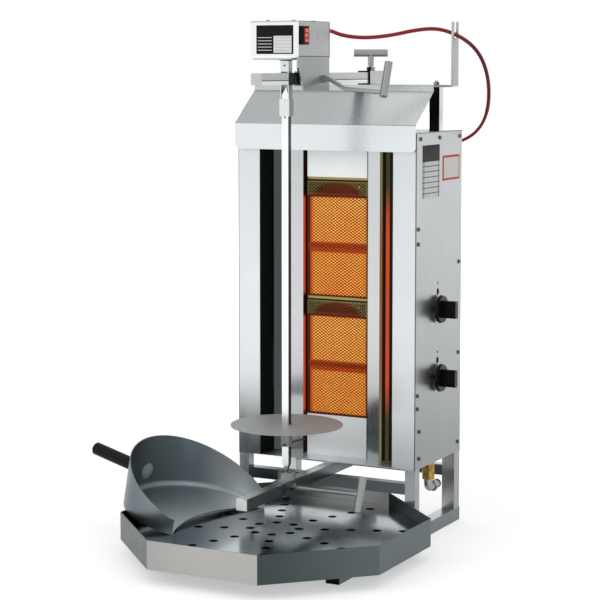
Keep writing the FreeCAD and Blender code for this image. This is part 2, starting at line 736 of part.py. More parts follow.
def hood():
    half = HALF + HOOD_OVERHANG
    t = SHEET
    slope = math.hypot(HOOD_CREST_Y - HOOD_FRONT, HOOD_CREST - HOOD_LIP_TOP)
    rise = (HOOD_CREST - HOOD_LIP_TOP) / slope
    run = (HOOD_CREST_Y - HOOD_FRONT) / slope
    inner_low = t * (1 - rise) / run
    profile = [
        (-half, HOOD_FRONT, HOOD_LIP_BOTTOM),
        (-half, HOOD_FRONT, HOOD_LIP_TOP),
        (-half, HOOD_CREST_Y, HOOD_CREST),
        (-half, HOOD_CREST_Y, HOOD_CREST + HOOD_FLANGE),
        (-half, HOOD_CREST_Y + t, HOOD_CREST + HOOD_FLANGE),
        (-half, HOOD_CREST_Y + t, HOOD_CREST - inner_low),
        (-half, HOOD_FRONT + t, HOOD_LIP_TOP - inner_low),
        (-half, HOOD_FRONT + t, HOOD_LIP_BOTTOM),
    ]
    shell = flat(profile, (2 * half, 0, 0))
    radius = HOOD_CORNER
    corners = []
    for s in LEFT_RIGHT:
        x = s * half
        block = box(min(x, x - s * radius), max(x, x - s * radius), HOOD_FRONT - 1, HOOD_FRONT + t + 1,
                    HOOD_LIP_BOTTOM, HOOD_LIP_BOTTOM + radius)
        keep = rod((x - s * radius, HOOD_FRONT - 1, HOOD_LIP_BOTTOM + radius), (0, 1, 0), radius, t + 2)
        corners.append(block.cut(keep))
    shell = cut(shell, *corners)
    feet = []
    for s in LEFT_RIGHT:
        x = s * (HALF - WING_WIDTH / 2)
        feet.append(box(x - 10, x + 10, HOOD_FRONT + t, CABINET_FRONT, CABINET_TOP - 20, CABINET_TOP - 8))
    return [join(shell, *feet)]


def hood_posts():
    posts = []
    for s in LEFT_RIGHT:
        posts.append(upright_tube(POST, HOOD_POST_DEPTH, TUBE_WALL, s * HOOD_POST_X, HOOD_POST_Y,
                                  CABINET_TOP, STRIP_BOTTOM))
    return posts


def fork_strip():
    """A flat bar across both posts whose right end turns up into a slotted cable fork."""
    left = -HOOD_POST_X - POST / 2
    t = STRIP_THICKNESS
    y0 = HOOD_POST_Y - STRIP_DEPTH / 2
    bar = box(left, FORK_X + t, y0, y0 + STRIP_DEPTH, STRIP_BOTTOM, STRIP_BOTTOM + t)
    stem = box(FORK_X, FORK_X + t, y0, y0 + STRIP_DEPTH, STRIP_BOTTOM, FORK_TOP)
    slot = box(FORK_X - 1, FORK_X + t + 1, HOOD_POST_Y - FORK_SLOT / 2, HOOD_POST_Y + FORK_SLOT / 2,
               FORK_TOP - FORK_SLOT_DEPTH, FORK_TOP + 1)
    corner = box(FORK_X, FORK_X + t, y0, y0 + STRIP_DEPTH, STRIP_BOTTOM, STRIP_BOTTOM + t)
    rounded = rod((FORK_X, y0, STRIP_BOTTOM + t), (0, 1, 0), t, STRIP_DEPTH)
    shape = join(bar, stem).cut(corner.cut(rounded))
    holes = []
    for s in LEFT_RIGHT:
        holes.append(rod((s * HOOD_POST_X, HOOD_POST_Y, STRIP_BOTTOM - 1), (0, 0, 1), 3.2, t + 2))
    return [cut(shape, slot, *holes)]


def fixing_nuts():
    nuts = []
    top = STRIP_BOTTOM + STRIP_THICKNESS
    for s in LEFT_RIGHT:
        nut = hexagon((s * HOOD_POST_X, HOOD_POST_Y, top), (0, 0, 1), 10.0, 5)
        stud = rod((s * HOOD_POST_X, HOOD_POST_Y, top - 16), (0, 0, 1), 3.0, 16 + 8)
        nuts.append(join(nut, stud))
    return nuts


def holder_front():
    return HOOD_POST_Y - HOLDER_AHEAD


def holder_tube():
    """Outer tube on the strip that holds the upper arm, with a nut for its clamp screw."""
    tube = square_tube(SLEEVE, SLEEVE_WALL, UPPER_ARM_X, holder_front(),
                       holder_front() + HOLDER_LENGTH, UPPER_ARM_Z)
    y = HOOD_POST_Y + ARM_SCREW_BEHIND
    nut = hexagon((UPPER_ARM_X, y, UPPER_ARM_Z + SLEEVE / 2), (0, 0, 1), 15.0, 7)
    thread = rod((UPPER_ARM_X, y, UPPER_ARM_Z + ARM / 2), (0, 0, 1), ARM_SCREW_RADIUS + FIT, 20)
    return [cut(join(tube, nut), thread)]


def arm_clamp_screw():
    y = HOOD_POST_Y + ARM_SCREW_BEHIND
    foot = UPPER_ARM_Z + ARM / 2 + FIT
    top = UPPER_ARM_Z + SLEEVE / 2 + 33
    stem = rod((UPPER_ARM_X, y, foot), (0, 0, 1), ARM_SCREW_RADIUS, top - foot)
    neck = rod((UPPER_ARM_X, y, UPPER_ARM_Z + SLEEVE / 2 + 9), (0, 0, 1), 5.5, 20)
    turn = math.radians(ARM_SCREW_TURN)
    direction = V(math.cos(turn), math.sin(turn), 0)
    start = V(UPPER_ARM_X, y, top) - direction * (TEE_LENGTH / 2)
    tee = Part.makeCylinder(TEE_RADIUS, TEE_LENGTH, start, direction)
    return [join(stem, neck, tee)]


def upper_arm():
    return [square_tube(ARM, TUBE_WALL, UPPER_ARM_X, ARM_FRONT, UPPER_ARM_REAR, UPPER_ARM_Z)]


def upper_arm_plug():
    return [plug(ARM, TUBE_WALL, UPPER_ARM_X, ARM_FRONT, UPPER_ARM_Z, -1)]


# Motor carriage

def plate_x():
    return UPPER_ARM_X + SLEEVE / 2


def upper_sleeve():
    """Sleeve that slides on the upper arm."""
    return [square_tube(SLEEVE, SLEEVE_WALL, UPPER_ARM_X, BOX_FRONT + UPPER_SLEEVE_START, BOX_REAR - 2,
                        UPPER_ARM_Z)]


def clamp_y():
    return BOX_REAR - CLAMP_FROM_REAR


def carriage_plate():
    """Side plate that hangs the motor box on the sleeve, with a welded nut for the clamp screw."""
    x = plate_x()
    low = UPPER_ARM_Z - ARM / 2 - 11.5
    plate = flat([
        (x, BOX_FRONT, BOX_BOTTOM + BOX_CORNER),
        (x, BOX_FRONT, UPPER_ARM_Z + 18),
        (x, BOX_FRONT + 22, low),
        (x, BOX_REAR - 2, low),
        (x, BOX_REAR - 2, BOX_BOTTOM + BOX_CORNER),
    ], (BOX_WIDTH / 2 - x, 0, 0)).cut(box_outside(FIT))
    outer = BOX_WIDTH / 2
    nut = hexagon((outer, clamp_y(), UPPER_ARM_Z - 1), (1, 0, 0), NUT_FLATS, 7)
    thread = rod((x - 1, clamp_y(), UPPER_ARM_Z - 1), (1, 0, 0), SCREW_RADIUS + FIT, outer - x + 10)
    return [cut(join(plate, nut), thread)]


def tee_screw(start_x, end_x, y, z, tilt):
    """Clamp screw along X with a tee bar on its end."""
    rod_part = rod((start_x, y, z), (1, 0, 0), SCREW_RADIUS, end_x - start_x)
    angle = math.radians(tilt)
    direction = V(0, math.sin(angle), math.cos(angle))
    bar = Part.makeCylinder(TEE_RADIUS, TEE_LENGTH, V(end_x, y, z) - direction * (TEE_LENGTH / 2), direction)
    hub = rod((end_x - 9, y, z), (1, 0, 0), SCREW_RADIUS + 1.5, 6)
    return join(rod_part, hub, bar)


def upper_clamp_screw():
    """Clamp screw whose stem is cranked, so that it meets the tee bar near its lower end."""
    y, z = clamp_y(), UPPER_ARM_Z - 1
    angle = math.radians(TEE_TILT)
    direction = V(0, math.sin(angle), math.cos(angle))

    def below_axis(x, drop):
        return (x, y - drop * math.sin(angle), z - drop * math.cos(angle))

    stem = swept([
        below_axis(plate_x() + 0.1, 0),
        below_axis(CRANK_START, 0),
        below_axis(CRANK_END, CRANK_DROP * CRANK_SHARE),
        below_axis(UPPER_TEE_X, CRANK_DROP),
    ], SCREW_RADIUS, 3 * SCREW_RADIUS)
    start = V(UPPER_TEE_X, y, z) - direction * (TEE_LENGTH / 2)
    return [join(stem, Part.makeCylinder(TEE_RADIUS, TEE_LENGTH, start, direction))]


def rounded_box(x0, x1, y0, y1, z0, z1, radius):
    """A box whose lower edges are rounded, as seen from the front and the side."""
    block = box(x0, x1, y0, y1, z0, z1)
    edges = [e for e in block.Edges if abs(e.BoundBox.ZMax - z0) < 0.01]
    return block.makeFillet(radius, edges)


def box_outside(more):
    h = BOX_WIDTH / 2 + more
    return rounded_box(-h, h, BOX_FRONT - more, BOX_REAR + more, BOX_BOTTOM - more,
                       BOX_TOP - LID, BOX_CORNER)


def motor_box():
    """Open sheet box with rounded lower edges; the lid closes it."""
    h = BOX_WIDTH / 2
    t = SHEET
    outer = box_outside(0)
    inner = rounded_box(-h + t, h - t, BOX_FRONT + t, BOX_REAR - t, BOX_BOTTOM + t, BOX_TOP, BOX_CORNER - t)
    shaft = rod((0, 0, BOX_BOTTOM - 1), (0, 0, 1), BUSH_RADIUS + GAP, t + 2)
    gx, gy, gz = CABLE_ROUTE[0]
    outlet = rod((gx, BOX_REAR - 5, gz), (0, 1, 0), GLAND_RADIUS + GAP, 10)
    return [cut(outer, inner, shaft, outlet)]


def motor_box_lid():
    """Flat lid with a rim that sits inside the box walls, and four screw heads."""
    h = BOX_WIDTH / 2
    rim = SHEET + FIT
    cap = box(-h, h, BOX_FRONT, BOX_REAR, BOX_TOP - LID, BOX_TOP)
    collar = box(-h + rim, h - rim, BOX_FRONT + rim, BOX_REAR - rim, BOX_TOP - LID - 4, BOX_TOP - LID)
    room = box(-h + 3, h - 3, BOX_FRONT + 3, BOX_REAR - 3, BOX_TOP - LID - 5, BOX_TOP - LID)
    lid = join(cap, collar).cut(room)
    heads = []
    for x in (-25, 25):
        for y in (BOX_FRONT + 22, BOX_REAR - 22):
            heads.append(rod((x, y, BOX_TOP), (0, 0, 1), 3.5, 2.0))
    return [join(lid, *heads)]


def gearmotor():
    """Gear case on the box floor, motor above it and the bush that the drive shaft runs in."""
    floor = BOX_BOTTOM + SHEET
    case = join(rod((0, 0, floor), (0, 0, 1), 28.0, 24), rod((0, 32, floor), (0, 0, 1), 28.0, 24),
                box(-28, 28, 0, 32, floor, floor + 24))
    motor = rod((0, 32, floor + 24), (0, 0, 1), 27.0, 32)
    bush = rod((0, 0, BOX_BOTTOM - 1.5), (0, 0, 1), BUSH_RADIUS, SHEET + 1.5)
    bore = rod((0, 0, BOX_BOTTOM - 3), (0, 0, 1), SHAFT / 2 + FIT, 22)
    return [cut(join(case, motor, bush), bore)]


def switch_housing():
    """Frame of the motor switch on the right side of the box."""
    x = BOX_WIDTH / 2
    y = BOX_FRONT + 3
    z = BOX_TOP - 9 - SWITCH_HEIGHT
    rim = 2.7
    outer = box(x, x + 8, y, y + SWITCH_WIDTH, z, z + SWITCH_HEIGHT)
    well = box(x + 2, x + 9, y + rim, y + SWITCH_WIDTH - rim, z + rim, z + SWITCH_HEIGHT - rim)
    return [cut(outer, well)]


def switch_rocker():
    """Three-position rocker; it tips about a level pin."""
    x = BOX_WIDTH / 2
    y0 = BOX_FRONT + 6
    zc = BOX_TOP - 25
    profile = [
        (x + 4.5, y0, zc - 11.8),
        (x + 9.4, y0, zc - 12.0),
        (x + 8.6, y0, zc),
        (x + 9.4, y0, zc + 12.0),
        (x + 4.5, y0, zc + 11.8),
    ]
    return [flat(profile, (0, 15, 0))]


def motor_label():
    h = BOX_WIDTH / 2
    return [box(-h + 11.5, h - 10.5, BOX_FRONT - 0.6, BOX_FRONT, BOX_TOP - 57, BOX_TOP - 7.5)]


def gland(x, y, z, length):
    """Cable gland that stands out of a rear wall: stem, hexagon, cap and a tapered bend sleeve."""
    stem = rod((x, y - 5, z), (0, 1, 0), GLAND_RADIUS, 5)
    ring = hexagon((x, y, z), (0, 1, 0), GLAND_FLATS, 4)
    cap = rod((x, y + 4, z), (0, 1, 0), GLAND_RADIUS + 0.3, 4)
    taper = Part.makeCone(GLAND_RADIUS, CABLE_RADIUS + 1, length - 8, V(x, y + 8, z), V(0, 1, 0))
    bore = rod((x, y - 6, z), (0, 1, 0), CABLE_RADIUS - 0.5, length + 7)
    return cut(join(stem, ring, cap, taper), bore)


def box_gland():
    x, y, z = CABLE_ROUTE[0]
    return [gland(x, BOX_REAR, z, y - BOX_REAR)]


def rear_gland():
    x, y, z = CABLE_ROUTE[-1]
    return [gland(x, CABINET_REAR, z, y - CABINET_REAR)]


def motor_cable():
    """The free cable: straight runs joined by arcs as large as the runs allow."""
    path = [V(*p) for p in CABLE_ROUTE]
    edges = []
    radii = []
    start = path[0]
    for i in range(1, len(path) - 1):
        into = path[i] - path[i - 1]
        out = path[i + 1] - path[i]
        shorter = min(into.Length, out.Length)
        into.normalize()
        out.normalize()
        half_turn = into.getAngle(out) / 2
        radius = 0.45 * shorter / math.tan(half_turn)
        radii.append(round(radius))
        first = path[i] - into * (0.45 * shorter)
        last = path[i] + out * (0.45 * shorter)
        inward = (out - into).normalize()
        middle = path[i] + inward * (radius / math.cos(half_turn) - radius)
        edges.append(Part.LineSegment(start, first).toShape())
        edges.append(Part.Arc(first, middle, last).toShape())
        start = last
    edges.append(Part.LineSegment(start, path[-1]).toShape())
    wire = Part.Wire(edges)
    profile = Part.Wire(Part.Circle(path[0], path[1] - path[0], CABLE_RADIUS).toShape())
    tube = wire.makePipeShell([profile], True, False)
    print("cable length", round(wire.Length, 1), "radii", radii)
    print("cable volume", round(tube.Volume), "section times length",
          round(math.pi * CABLE_RADIUS ** 2 * wire.Length))
    return [tube]


# Spit

def square_bar(width, z0, z1):
    h = width / 2
    return box(-h, h, -h, h, z0, z1)


def turned(shape):
    return shape.rotated(V(0, 0, 0), V(0, 0, 1), SPIT_TURN)


def drive_shaft():
    """Round in the gear case; below it a square channel, open at the front, that takes the bar."""
    top = rod((0, 0, BOX_BOTTOM - 2), (0, 0, 1), SHAFT / 2, 19)
    block = square_bar(SHAFT, SHAFT_BOTTOM, BOX_BOTTOM - 2)
    w = BAR / 2 + GAP
    channel = box(-w, w, -SHAFT, w, SHAFT_BOTTOM, SHAFT_SLOT_TOP)
    pin = rod((0, -SHAFT, BOX_BOTTOM - 10), (0, 1, 0), COUPLING_HOLE, SHAFT)
    return [turned(cut(join(top, block), channel, pin))]


def coupling_sleeve():
    """Square sleeve that closes the channel around the bar; lifted to free the spit."""
    z1 = COUPLING_BOTTOM + COUPLING_HEIGHT
    outer = square_bar(COUPLING, COUPLING_BOTTOM, z1)
    room = square_bar(SHAFT + 2 * GAP, COUPLING_BOTTOM, z1)
    return [turned(cut(outer, room))]


def pyramid(width, z_base, z_tip):
    """A square point on the bar's axis."""
    h = width / 2
    base = [V(-h, -h, z_base), V(h, -h, z_base), V(h, h, z_base), V(-h, h, z_base)]
    tip = V(0, 0, z_tip)
    faces = [Part.Face(Part.makePolygon(base + [base[0]]))]
    for i in range(4):
        a = base[i]
        b = base[(i + 1) % 4]
        faces.append(Part.Face(Part.makePolygon([a, b, tip, a])))
    return Part.Solid(Part.Shell(faces))


def skewer():
    """Square bar, pointed at both ends, with a hole for the plate's pin and one near the top."""
    body = square_bar(BAR, BAR_TIP + TIP_LENGTH, BAR_TOP - TOP_POINT)
    low = pyramid(BAR, BAR_TIP + TIP_LENGTH, BAR_TIP)
    high = pyramid(BAR, BAR_TOP - TOP_POINT, BAR_TOP)
    hole = rod((0, -BAR, pin_z()), (0, 1, 0), PIN_RADIUS + GAP, 2 * BAR)
    mark = rod((0, -BAR, COUPLING_BOTTOM - 2), (0, 1, 0), COUPLING_HOLE, BAR)
    return [turned(cut(join(body, low, high), hole, mark))]


def pin_z():
    return PLATE_TOP - PLATE_THICKNESS - PLATE_HUB + 4


def meat_plate():
    """Round plate welded on a square hub that slides over the bar."""
    disc = rod((0, 0, PLATE_TOP - PLATE_THICKNESS), (0, 0, 1), PLATE_RADIUS, PLATE_THICKNESS)
    below = PLATE_TOP - PLATE_THICKNESS
    hub = square_bar(BAR + 2 * (GAP + HUB_WALL), below - PLATE_HUB, below)
    bore = square_bar(BAR + 2 * GAP, below - PLATE_HUB, PLATE_TOP)
    hole = rod((0, -20, pin_z()), (0, 1, 0), PIN_RADIUS + GAP, 40)
    return [turned(cut(join(disc, hub), bore, hole))]


def plate_pin():
    """Wire pin through hub and bar, with a bent tail that keeps it in."""
    z = pin_z()
    pin = swept([(0, -PIN_AHEAD, z), (0, BAR, z), (BAR, PIN_BEHIND, z)], PIN_RADIUS, 5)
    return [turned(pin)]


# Lower carriage

def lower_sleeve():
    y = LOWER_SLEEVE_LENGTH / 2
    tube = square_tube(SLEEVE, SLEEVE_WALL, 0, -y, y, ARM_CENTRE_Z)
    nut = hexagon((SLEEVE / 2, 0, ARM_CENTRE_Z), (1, 0, 0), NUT_FLATS, 7)
    thread = rod((ARM / 2 + 0.1, 0, ARM_CENTRE_Z), (1, 0, 0), SCREW_RADIUS + FIT, 30)
    return [cut(join(tube, nut), thread)]


def lower_clamp_screw():
    return [tee_screw(ARM / 2 + FIT, LOWER_TEE_X, 0, ARM_CENTRE_Z, TEE_TILT)]


def spit_bearing():
    """Round cup on the lower sleeve with a cone for the spit's point."""
    z0 = ARM_CENTRE_Z + SLEEVE / 2
    top = BAR_TIP + BEARING_SEAT
    cup = rod((0, 0, z0), (0, 0, 1), BEARING_RADIUS, top - z0)
    depth = BEARING_SEAT + GAP
    cone = Part.makeCone(0.6, 0.6 + depth, depth, V(0, 0, top - depth), V(0, 0, 1))
    return [cut(cup, cone)]


# Drip tray, insert and scoop

def tray():
    z0 = RAIL
    outer = octagon_block(TRAY_APOTHEM, z0, TRAY_TOP)
    inner = octagon_block(TRAY_APOTHEM - SHEET, z0 + SHEET, TRAY_TOP)
    return [outer.cut(inner)]


def tray_insert():
    """Perforated floor on a folded skirt, eight rows of holes towards the corners."""
    apothem = TRAY_APOTHEM - SHEET - 1.0
    floor = RAIL + SHEET
    plate = octagon_block(apothem, floor, INSERT_TOP)
    under = octagon_block(apothem - SHEET, floor - 1, INSERT_TOP - SHEET)
    shape = plate.cut(under)
    holes = []
    for row in range(8):
        angle = math.radians(22.5 + 45 * row)
        for i in range(HOLES_IN_ROW):
            reach = HOLE_FIRST + HOLE_PITCH * i
            x = reach * math.cos(angle)
            y = TRAY_CENTRE_Y + reach * math.sin(angle)
            holes.append(rod((x, y, INSERT_TOP - 2 * SHEET), (0, 0, 1), HOLE_RADIUS, 3 * SHEET))
    return [cut(shape, *holes)]


def scoop_pose():
    """Tilt and height at which the pan's tips stand on the insert and its floor on the tray's rim."""
    heading = math.radians(SCOOP_HEADING)
    rim = SCOOP_INSET - SHEET
    chord = math.sqrt(SCOOP_RADIUS ** 2 - rim ** 2)
    behind = rim * math.cos(heading) + chord * math.sin(heading)
    drop = TRAY_TOP - INSERT_TOP
    tilt = math.asin(drop / (SCOOP_TIP + behind))
    for _ in range(4):
        tilt = math.asin(drop / (SCOOP_TIP + behind / math.cos(tilt)))
    return math.degrees(tilt), INSERT_TOP + GAP + SCOOP_TIP * math.sin(tilt)


def place_scoop(shape):
    """From the scoop's own frame, open side along +X and floor at Z = 0, to its place."""
    tilt, lift = scoop_pose()
    shape = shape.copy()
    shape.rotate(V(0, 0, 0), V(0, 1, 0), tilt)
    shape.rotate(V(0, 0, 0), V(0, 0, 1), SCOOP_HEADING)
    shape.translate(V(SCOOP_X, SCOOP_Y, lift))
    return shape


def scoop_pan():
    """Round pan with a wall that rises towards the back and a hollow front edge."""
    t = SCOOP_WALL
    high = SCOOP_BACK + 10
    outer = rod((0, 0, 0), (0, 0, 1), SCOOP_RADIUS, high)
    inner = rod((0, 0, t), (0, 0, 1), SCOOP_RADIUS - t, high)
    pan = outer.cut(inner)
    reach = SCOOP_RADIUS + 20
    level = SCOOP_BACK - SCOOP_SLOPE * SCOOP_RADIUS
    above = flat([
        (-reach, -reach, level + SCOOP_SLOPE * reach),
        (SCOOP_TIP - 10, -reach, level - SCOOP_SLOPE * (SCOOP_TIP - 10)),
        (reach, -reach, level - SCOOP_SLOPE * (SCOOP_TIP - 10) - 6),
        (reach, -reach, high + 60),
        (-reach, -reach, high + 60),
    ], (0, 2 * reach, 0))
    bite = rod((SCOOP_TIP - SCOOP_SAG + SCOOP_BITE, 0, -1), (0, 0, 1), SCOOP_BITE, high + 2)
    beyond = box(SCOOP_TIP, reach, -reach, reach, -1, high + 2)
    hole = rod((-SCOOP_RADIUS - 2, 0, HANDLE_HEIGHT), (1, 0, 0), 3.2, 8)
    return [place_scoop(cut(pan, above, bite, beyond, hole))]


def scoop_handle():
    """Black grip outside the wall and the bolt that holds it from inside."""
    t = SCOOP_WALL
    start = -SCOOP_RADIUS - 0.8
    grip = rod((start, 0, HANDLE_HEIGHT), (-1, 0, 0), HANDLE_RADIUS, HANDLE_LENGTH)
    ends = [e for e in grip.Edges if abs(e.BoundBox.XMax - e.BoundBox.XMin) < 0.01
            and e.BoundBox.XMin < start - HANDLE_LENGTH + 1]
    grip = grip.makeChamfer(3.0, ends)
    curve = rod((0, 0, -HANDLE_RADIUS), (0, 0, 1), SCOOP_RADIUS + GAP, HANDLE_HEIGHT + 3 * HANDLE_RADIUS)
    extra = rod((start + 1.2, 0, HANDLE_HEIGHT), (-1, 0, 0), HANDLE_RADIUS, 3)
    grip = join(grip, extra).cut(curve)
    socket = rod((0, 0, HANDLE_HEIGHT), (-1, 0, 0), 3.15, SCOOP_RADIUS + 22)
    grip = grip.cut(socket)
    head_x = GAP - math.sqrt((SCOOP_RADIUS - t) ** 2 - BOLT_HEAD ** 2)
    ball = (BOLT_HEAD ** 2 + BOLT_CROWN ** 2) / (2 * BOLT_CROWN)
    centre = V(head_x + BOLT_CROWN - ball, 0, HANDLE_HEIGHT)
    start = math.degrees(math.asin((ball - BOLT_CROWN) / ball))
    head = Part.makeSphere(ball, centre, V(1, 0, 0), start, 90, 360)
    stem = rod((head_x, 0, HANDLE_HEIGHT), (-1, 0, 0), 3.0, 20)
    return [place_scoop(grip), place_scoop(join(head, stem))]


# Tap spindles and knobs

def tap_spindle(z):
    inner = MANIFOLD_X + MANIFOLD_RADIUS + 16
    return rod((inner, KNOB_Y, z), (1, 0, 0), SPINDLE_RADIUS, HALF + KNOB_STANDOFF + 17 - inner)


def knob(z):
    """Round skirt with a raised grip bar across it."""
    x = HALF + KNOB_STANDOFF
    skirt = Part.makeCone(KNOB_RADIUS, KNOB_RADIUS - 1.5, KNOB_SKIRT, V(x, KNOB_Y, z), V(1, 0, 0))
    w = GRIP_WIDTH / 2
    h = GRIP_HEIGHT / 2
    grip = box(x + KNOB_SKIRT - 1, x + KNOB_SKIRT + KNOB_GRIP, KNOB_Y - w, KNOB_Y + w, z - h, z + h)
    tall = [e for e in grip.Edges if abs(e.BoundBox.XMax - e.BoundBox.XMin) > KNOB_GRIP / 2]
    grip = grip.makeFillet(4.0, tall)
    bore = rod((x, KNOB_Y, z), (1, 0, 0), SPINDLE_RADIUS + FIT, 18)
    return cut(join(skirt, grip), bore)


def lower_tap_spindle():
    return [tap_spindle(tap_heights()[0])]


def upper_tap_spindle():
    return [tap_spindle(tap_heights()[1])]


def lower_knob():
    return [knob(tap_heights()[0])]


def upper_knob():
    return [knob(tap_heights()[1])]


NODES = [
    base_rails, tube_plugs, uprights, crossbars, lower_arm, bottom_panel, left_side_panel,
    right_side_panel, wing_panels, side_reflectors, burner_covers, burner_bodies, burner_plaques,
    burner_meshes, mixing_tubes, thermocouples, gas_taps, gas_pipes, inlet_nut, inlet_elbow,
    rear_panel, top_panel, panel_screws, name_plates, hood, hood_posts, fork_strip, fixing_nuts,
    holder_tube, arm_clamp_screw, upper_arm, upper_arm_plug, upper_sleeve, carriage_plate,
    upper_clamp_screw, motor_box, motor_box_lid, gearmotor, switch_housing, switch_rocker,
    motor_label, box_gland, rear_gland, motor_cable, drive_shaft, coupling_sleeve, skewer,
    meat_plate, plate_pin, lower_sleeve, lower_clamp_screw, spit_bearing, tray, tray_insert,
    scoop_pan, scoop_handle, lower_tap_spindle, upper_tap_spindle, lower_knob, upper_knob,
]
CORDS = ("motor_cable",)


def main():
    os.makedirs("parts", exist_ok=True)
    built = {make.__name__: Part.makeCompound(make()) for make in NODES}
    whole = FreeCAD.BoundBox()
    for name, shape in built.items():
        if name not in CORDS:
            whole.add(shape.BoundBox)
    shift = V(-whole.Center.x, -whole.Center.y, -whole.ZMin)
    for name, shape in built.items():
        shape.translate(shift)
        shape.exportStep("parts/" + name + ".step")
    print("spit axis at", round(shift.x, 3), round(shift.y, 3), "nodes", len(built))
    print("box", [round(v, 1) for v in (whole.XLength, whole.YLength, whole.ZLength)])


main()
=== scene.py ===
"""Looks of the gas doner kebab grill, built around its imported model. Lengths are in metres."""
import math

import bpy
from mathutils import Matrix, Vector


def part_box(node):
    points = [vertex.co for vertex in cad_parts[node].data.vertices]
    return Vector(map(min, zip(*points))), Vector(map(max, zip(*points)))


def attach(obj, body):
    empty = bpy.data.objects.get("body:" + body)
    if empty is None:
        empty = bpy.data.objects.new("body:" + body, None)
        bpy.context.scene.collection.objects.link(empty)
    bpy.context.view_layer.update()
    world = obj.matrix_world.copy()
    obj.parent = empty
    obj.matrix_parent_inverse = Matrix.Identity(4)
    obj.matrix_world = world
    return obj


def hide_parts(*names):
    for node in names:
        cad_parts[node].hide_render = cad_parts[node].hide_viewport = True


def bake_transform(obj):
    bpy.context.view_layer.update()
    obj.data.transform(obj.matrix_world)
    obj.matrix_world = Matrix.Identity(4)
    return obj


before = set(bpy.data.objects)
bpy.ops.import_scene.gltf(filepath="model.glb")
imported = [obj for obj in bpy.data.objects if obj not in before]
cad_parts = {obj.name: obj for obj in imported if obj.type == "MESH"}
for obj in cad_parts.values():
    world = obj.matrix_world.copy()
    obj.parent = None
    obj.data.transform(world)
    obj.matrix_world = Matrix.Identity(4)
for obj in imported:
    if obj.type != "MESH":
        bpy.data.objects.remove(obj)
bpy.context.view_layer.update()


# Camera, at the photograph's viewing angle

CAMERA_PLACE = (1.6362, -2.9640, 0.8710)
CAMERA_YAW = 27.60
CAMERA_PITCH = 5.37
CAMERA_LENS = 112.98
CAMERA_SHIFT = -0.10
CAMERA_SENSOR = 36.0
CAMERA_REACH = 60.0

camera_data = bpy.data.cameras.new("camera")
camera_data.lens = CAMERA_LENS
camera_data.sensor_width = CAMERA_SENSOR
camera_data.shift_y = CAMERA_SHIFT
camera_data.clip_end = CAMERA_REACH
camera = bpy.data.objects.new("camera", camera_data)
camera.location = CAMERA_PLACE
camera.rotation_euler = (math.radians(90 - CAMERA_PITCH), 0, math.radians(CAMERA_YAW))
bpy.context.scene.collection.objects.link(camera)
bpy.context.scene.camera = camera
bpy.context.scene.view_settings.view_transform = "Standard"


# Procedural finishes

def tone(red, green, blue):
    """A colour given from 0 to 255, as it is seen, in the shader's own numbers."""
    seen = [value / 255 for value in (red, green, blue)]
    linear = [v / 12.92 if v <= 0.04045 else ((v + 0.055) / 1.055) ** 2.4 for v in seen]
    return (*linear, 1.0)


def feed(tree, socket, value):
    """Links an output to a socket, or gives the socket a value."""
    if isinstance(value, bpy.types.NodeSocket):
        tree.links.new(value, socket)
    elif value is not None:
        socket.default_value = value


def add_node(tree, kind, *inputs, **settings):
    """A new node with its settings, its first sockets fed with the inputs."""
    node = tree.nodes.new(kind)
    for key, value in settings.items():
        setattr(node, key, value)
    for socket, value in zip(node.inputs, inputs):
        feed(tree, socket, value)
    return node


LEFT, RIGHT, FRONT, UP = (-1, 0, 0), (1, 0, 0), (0, -1, 0), (0, 0, 1)


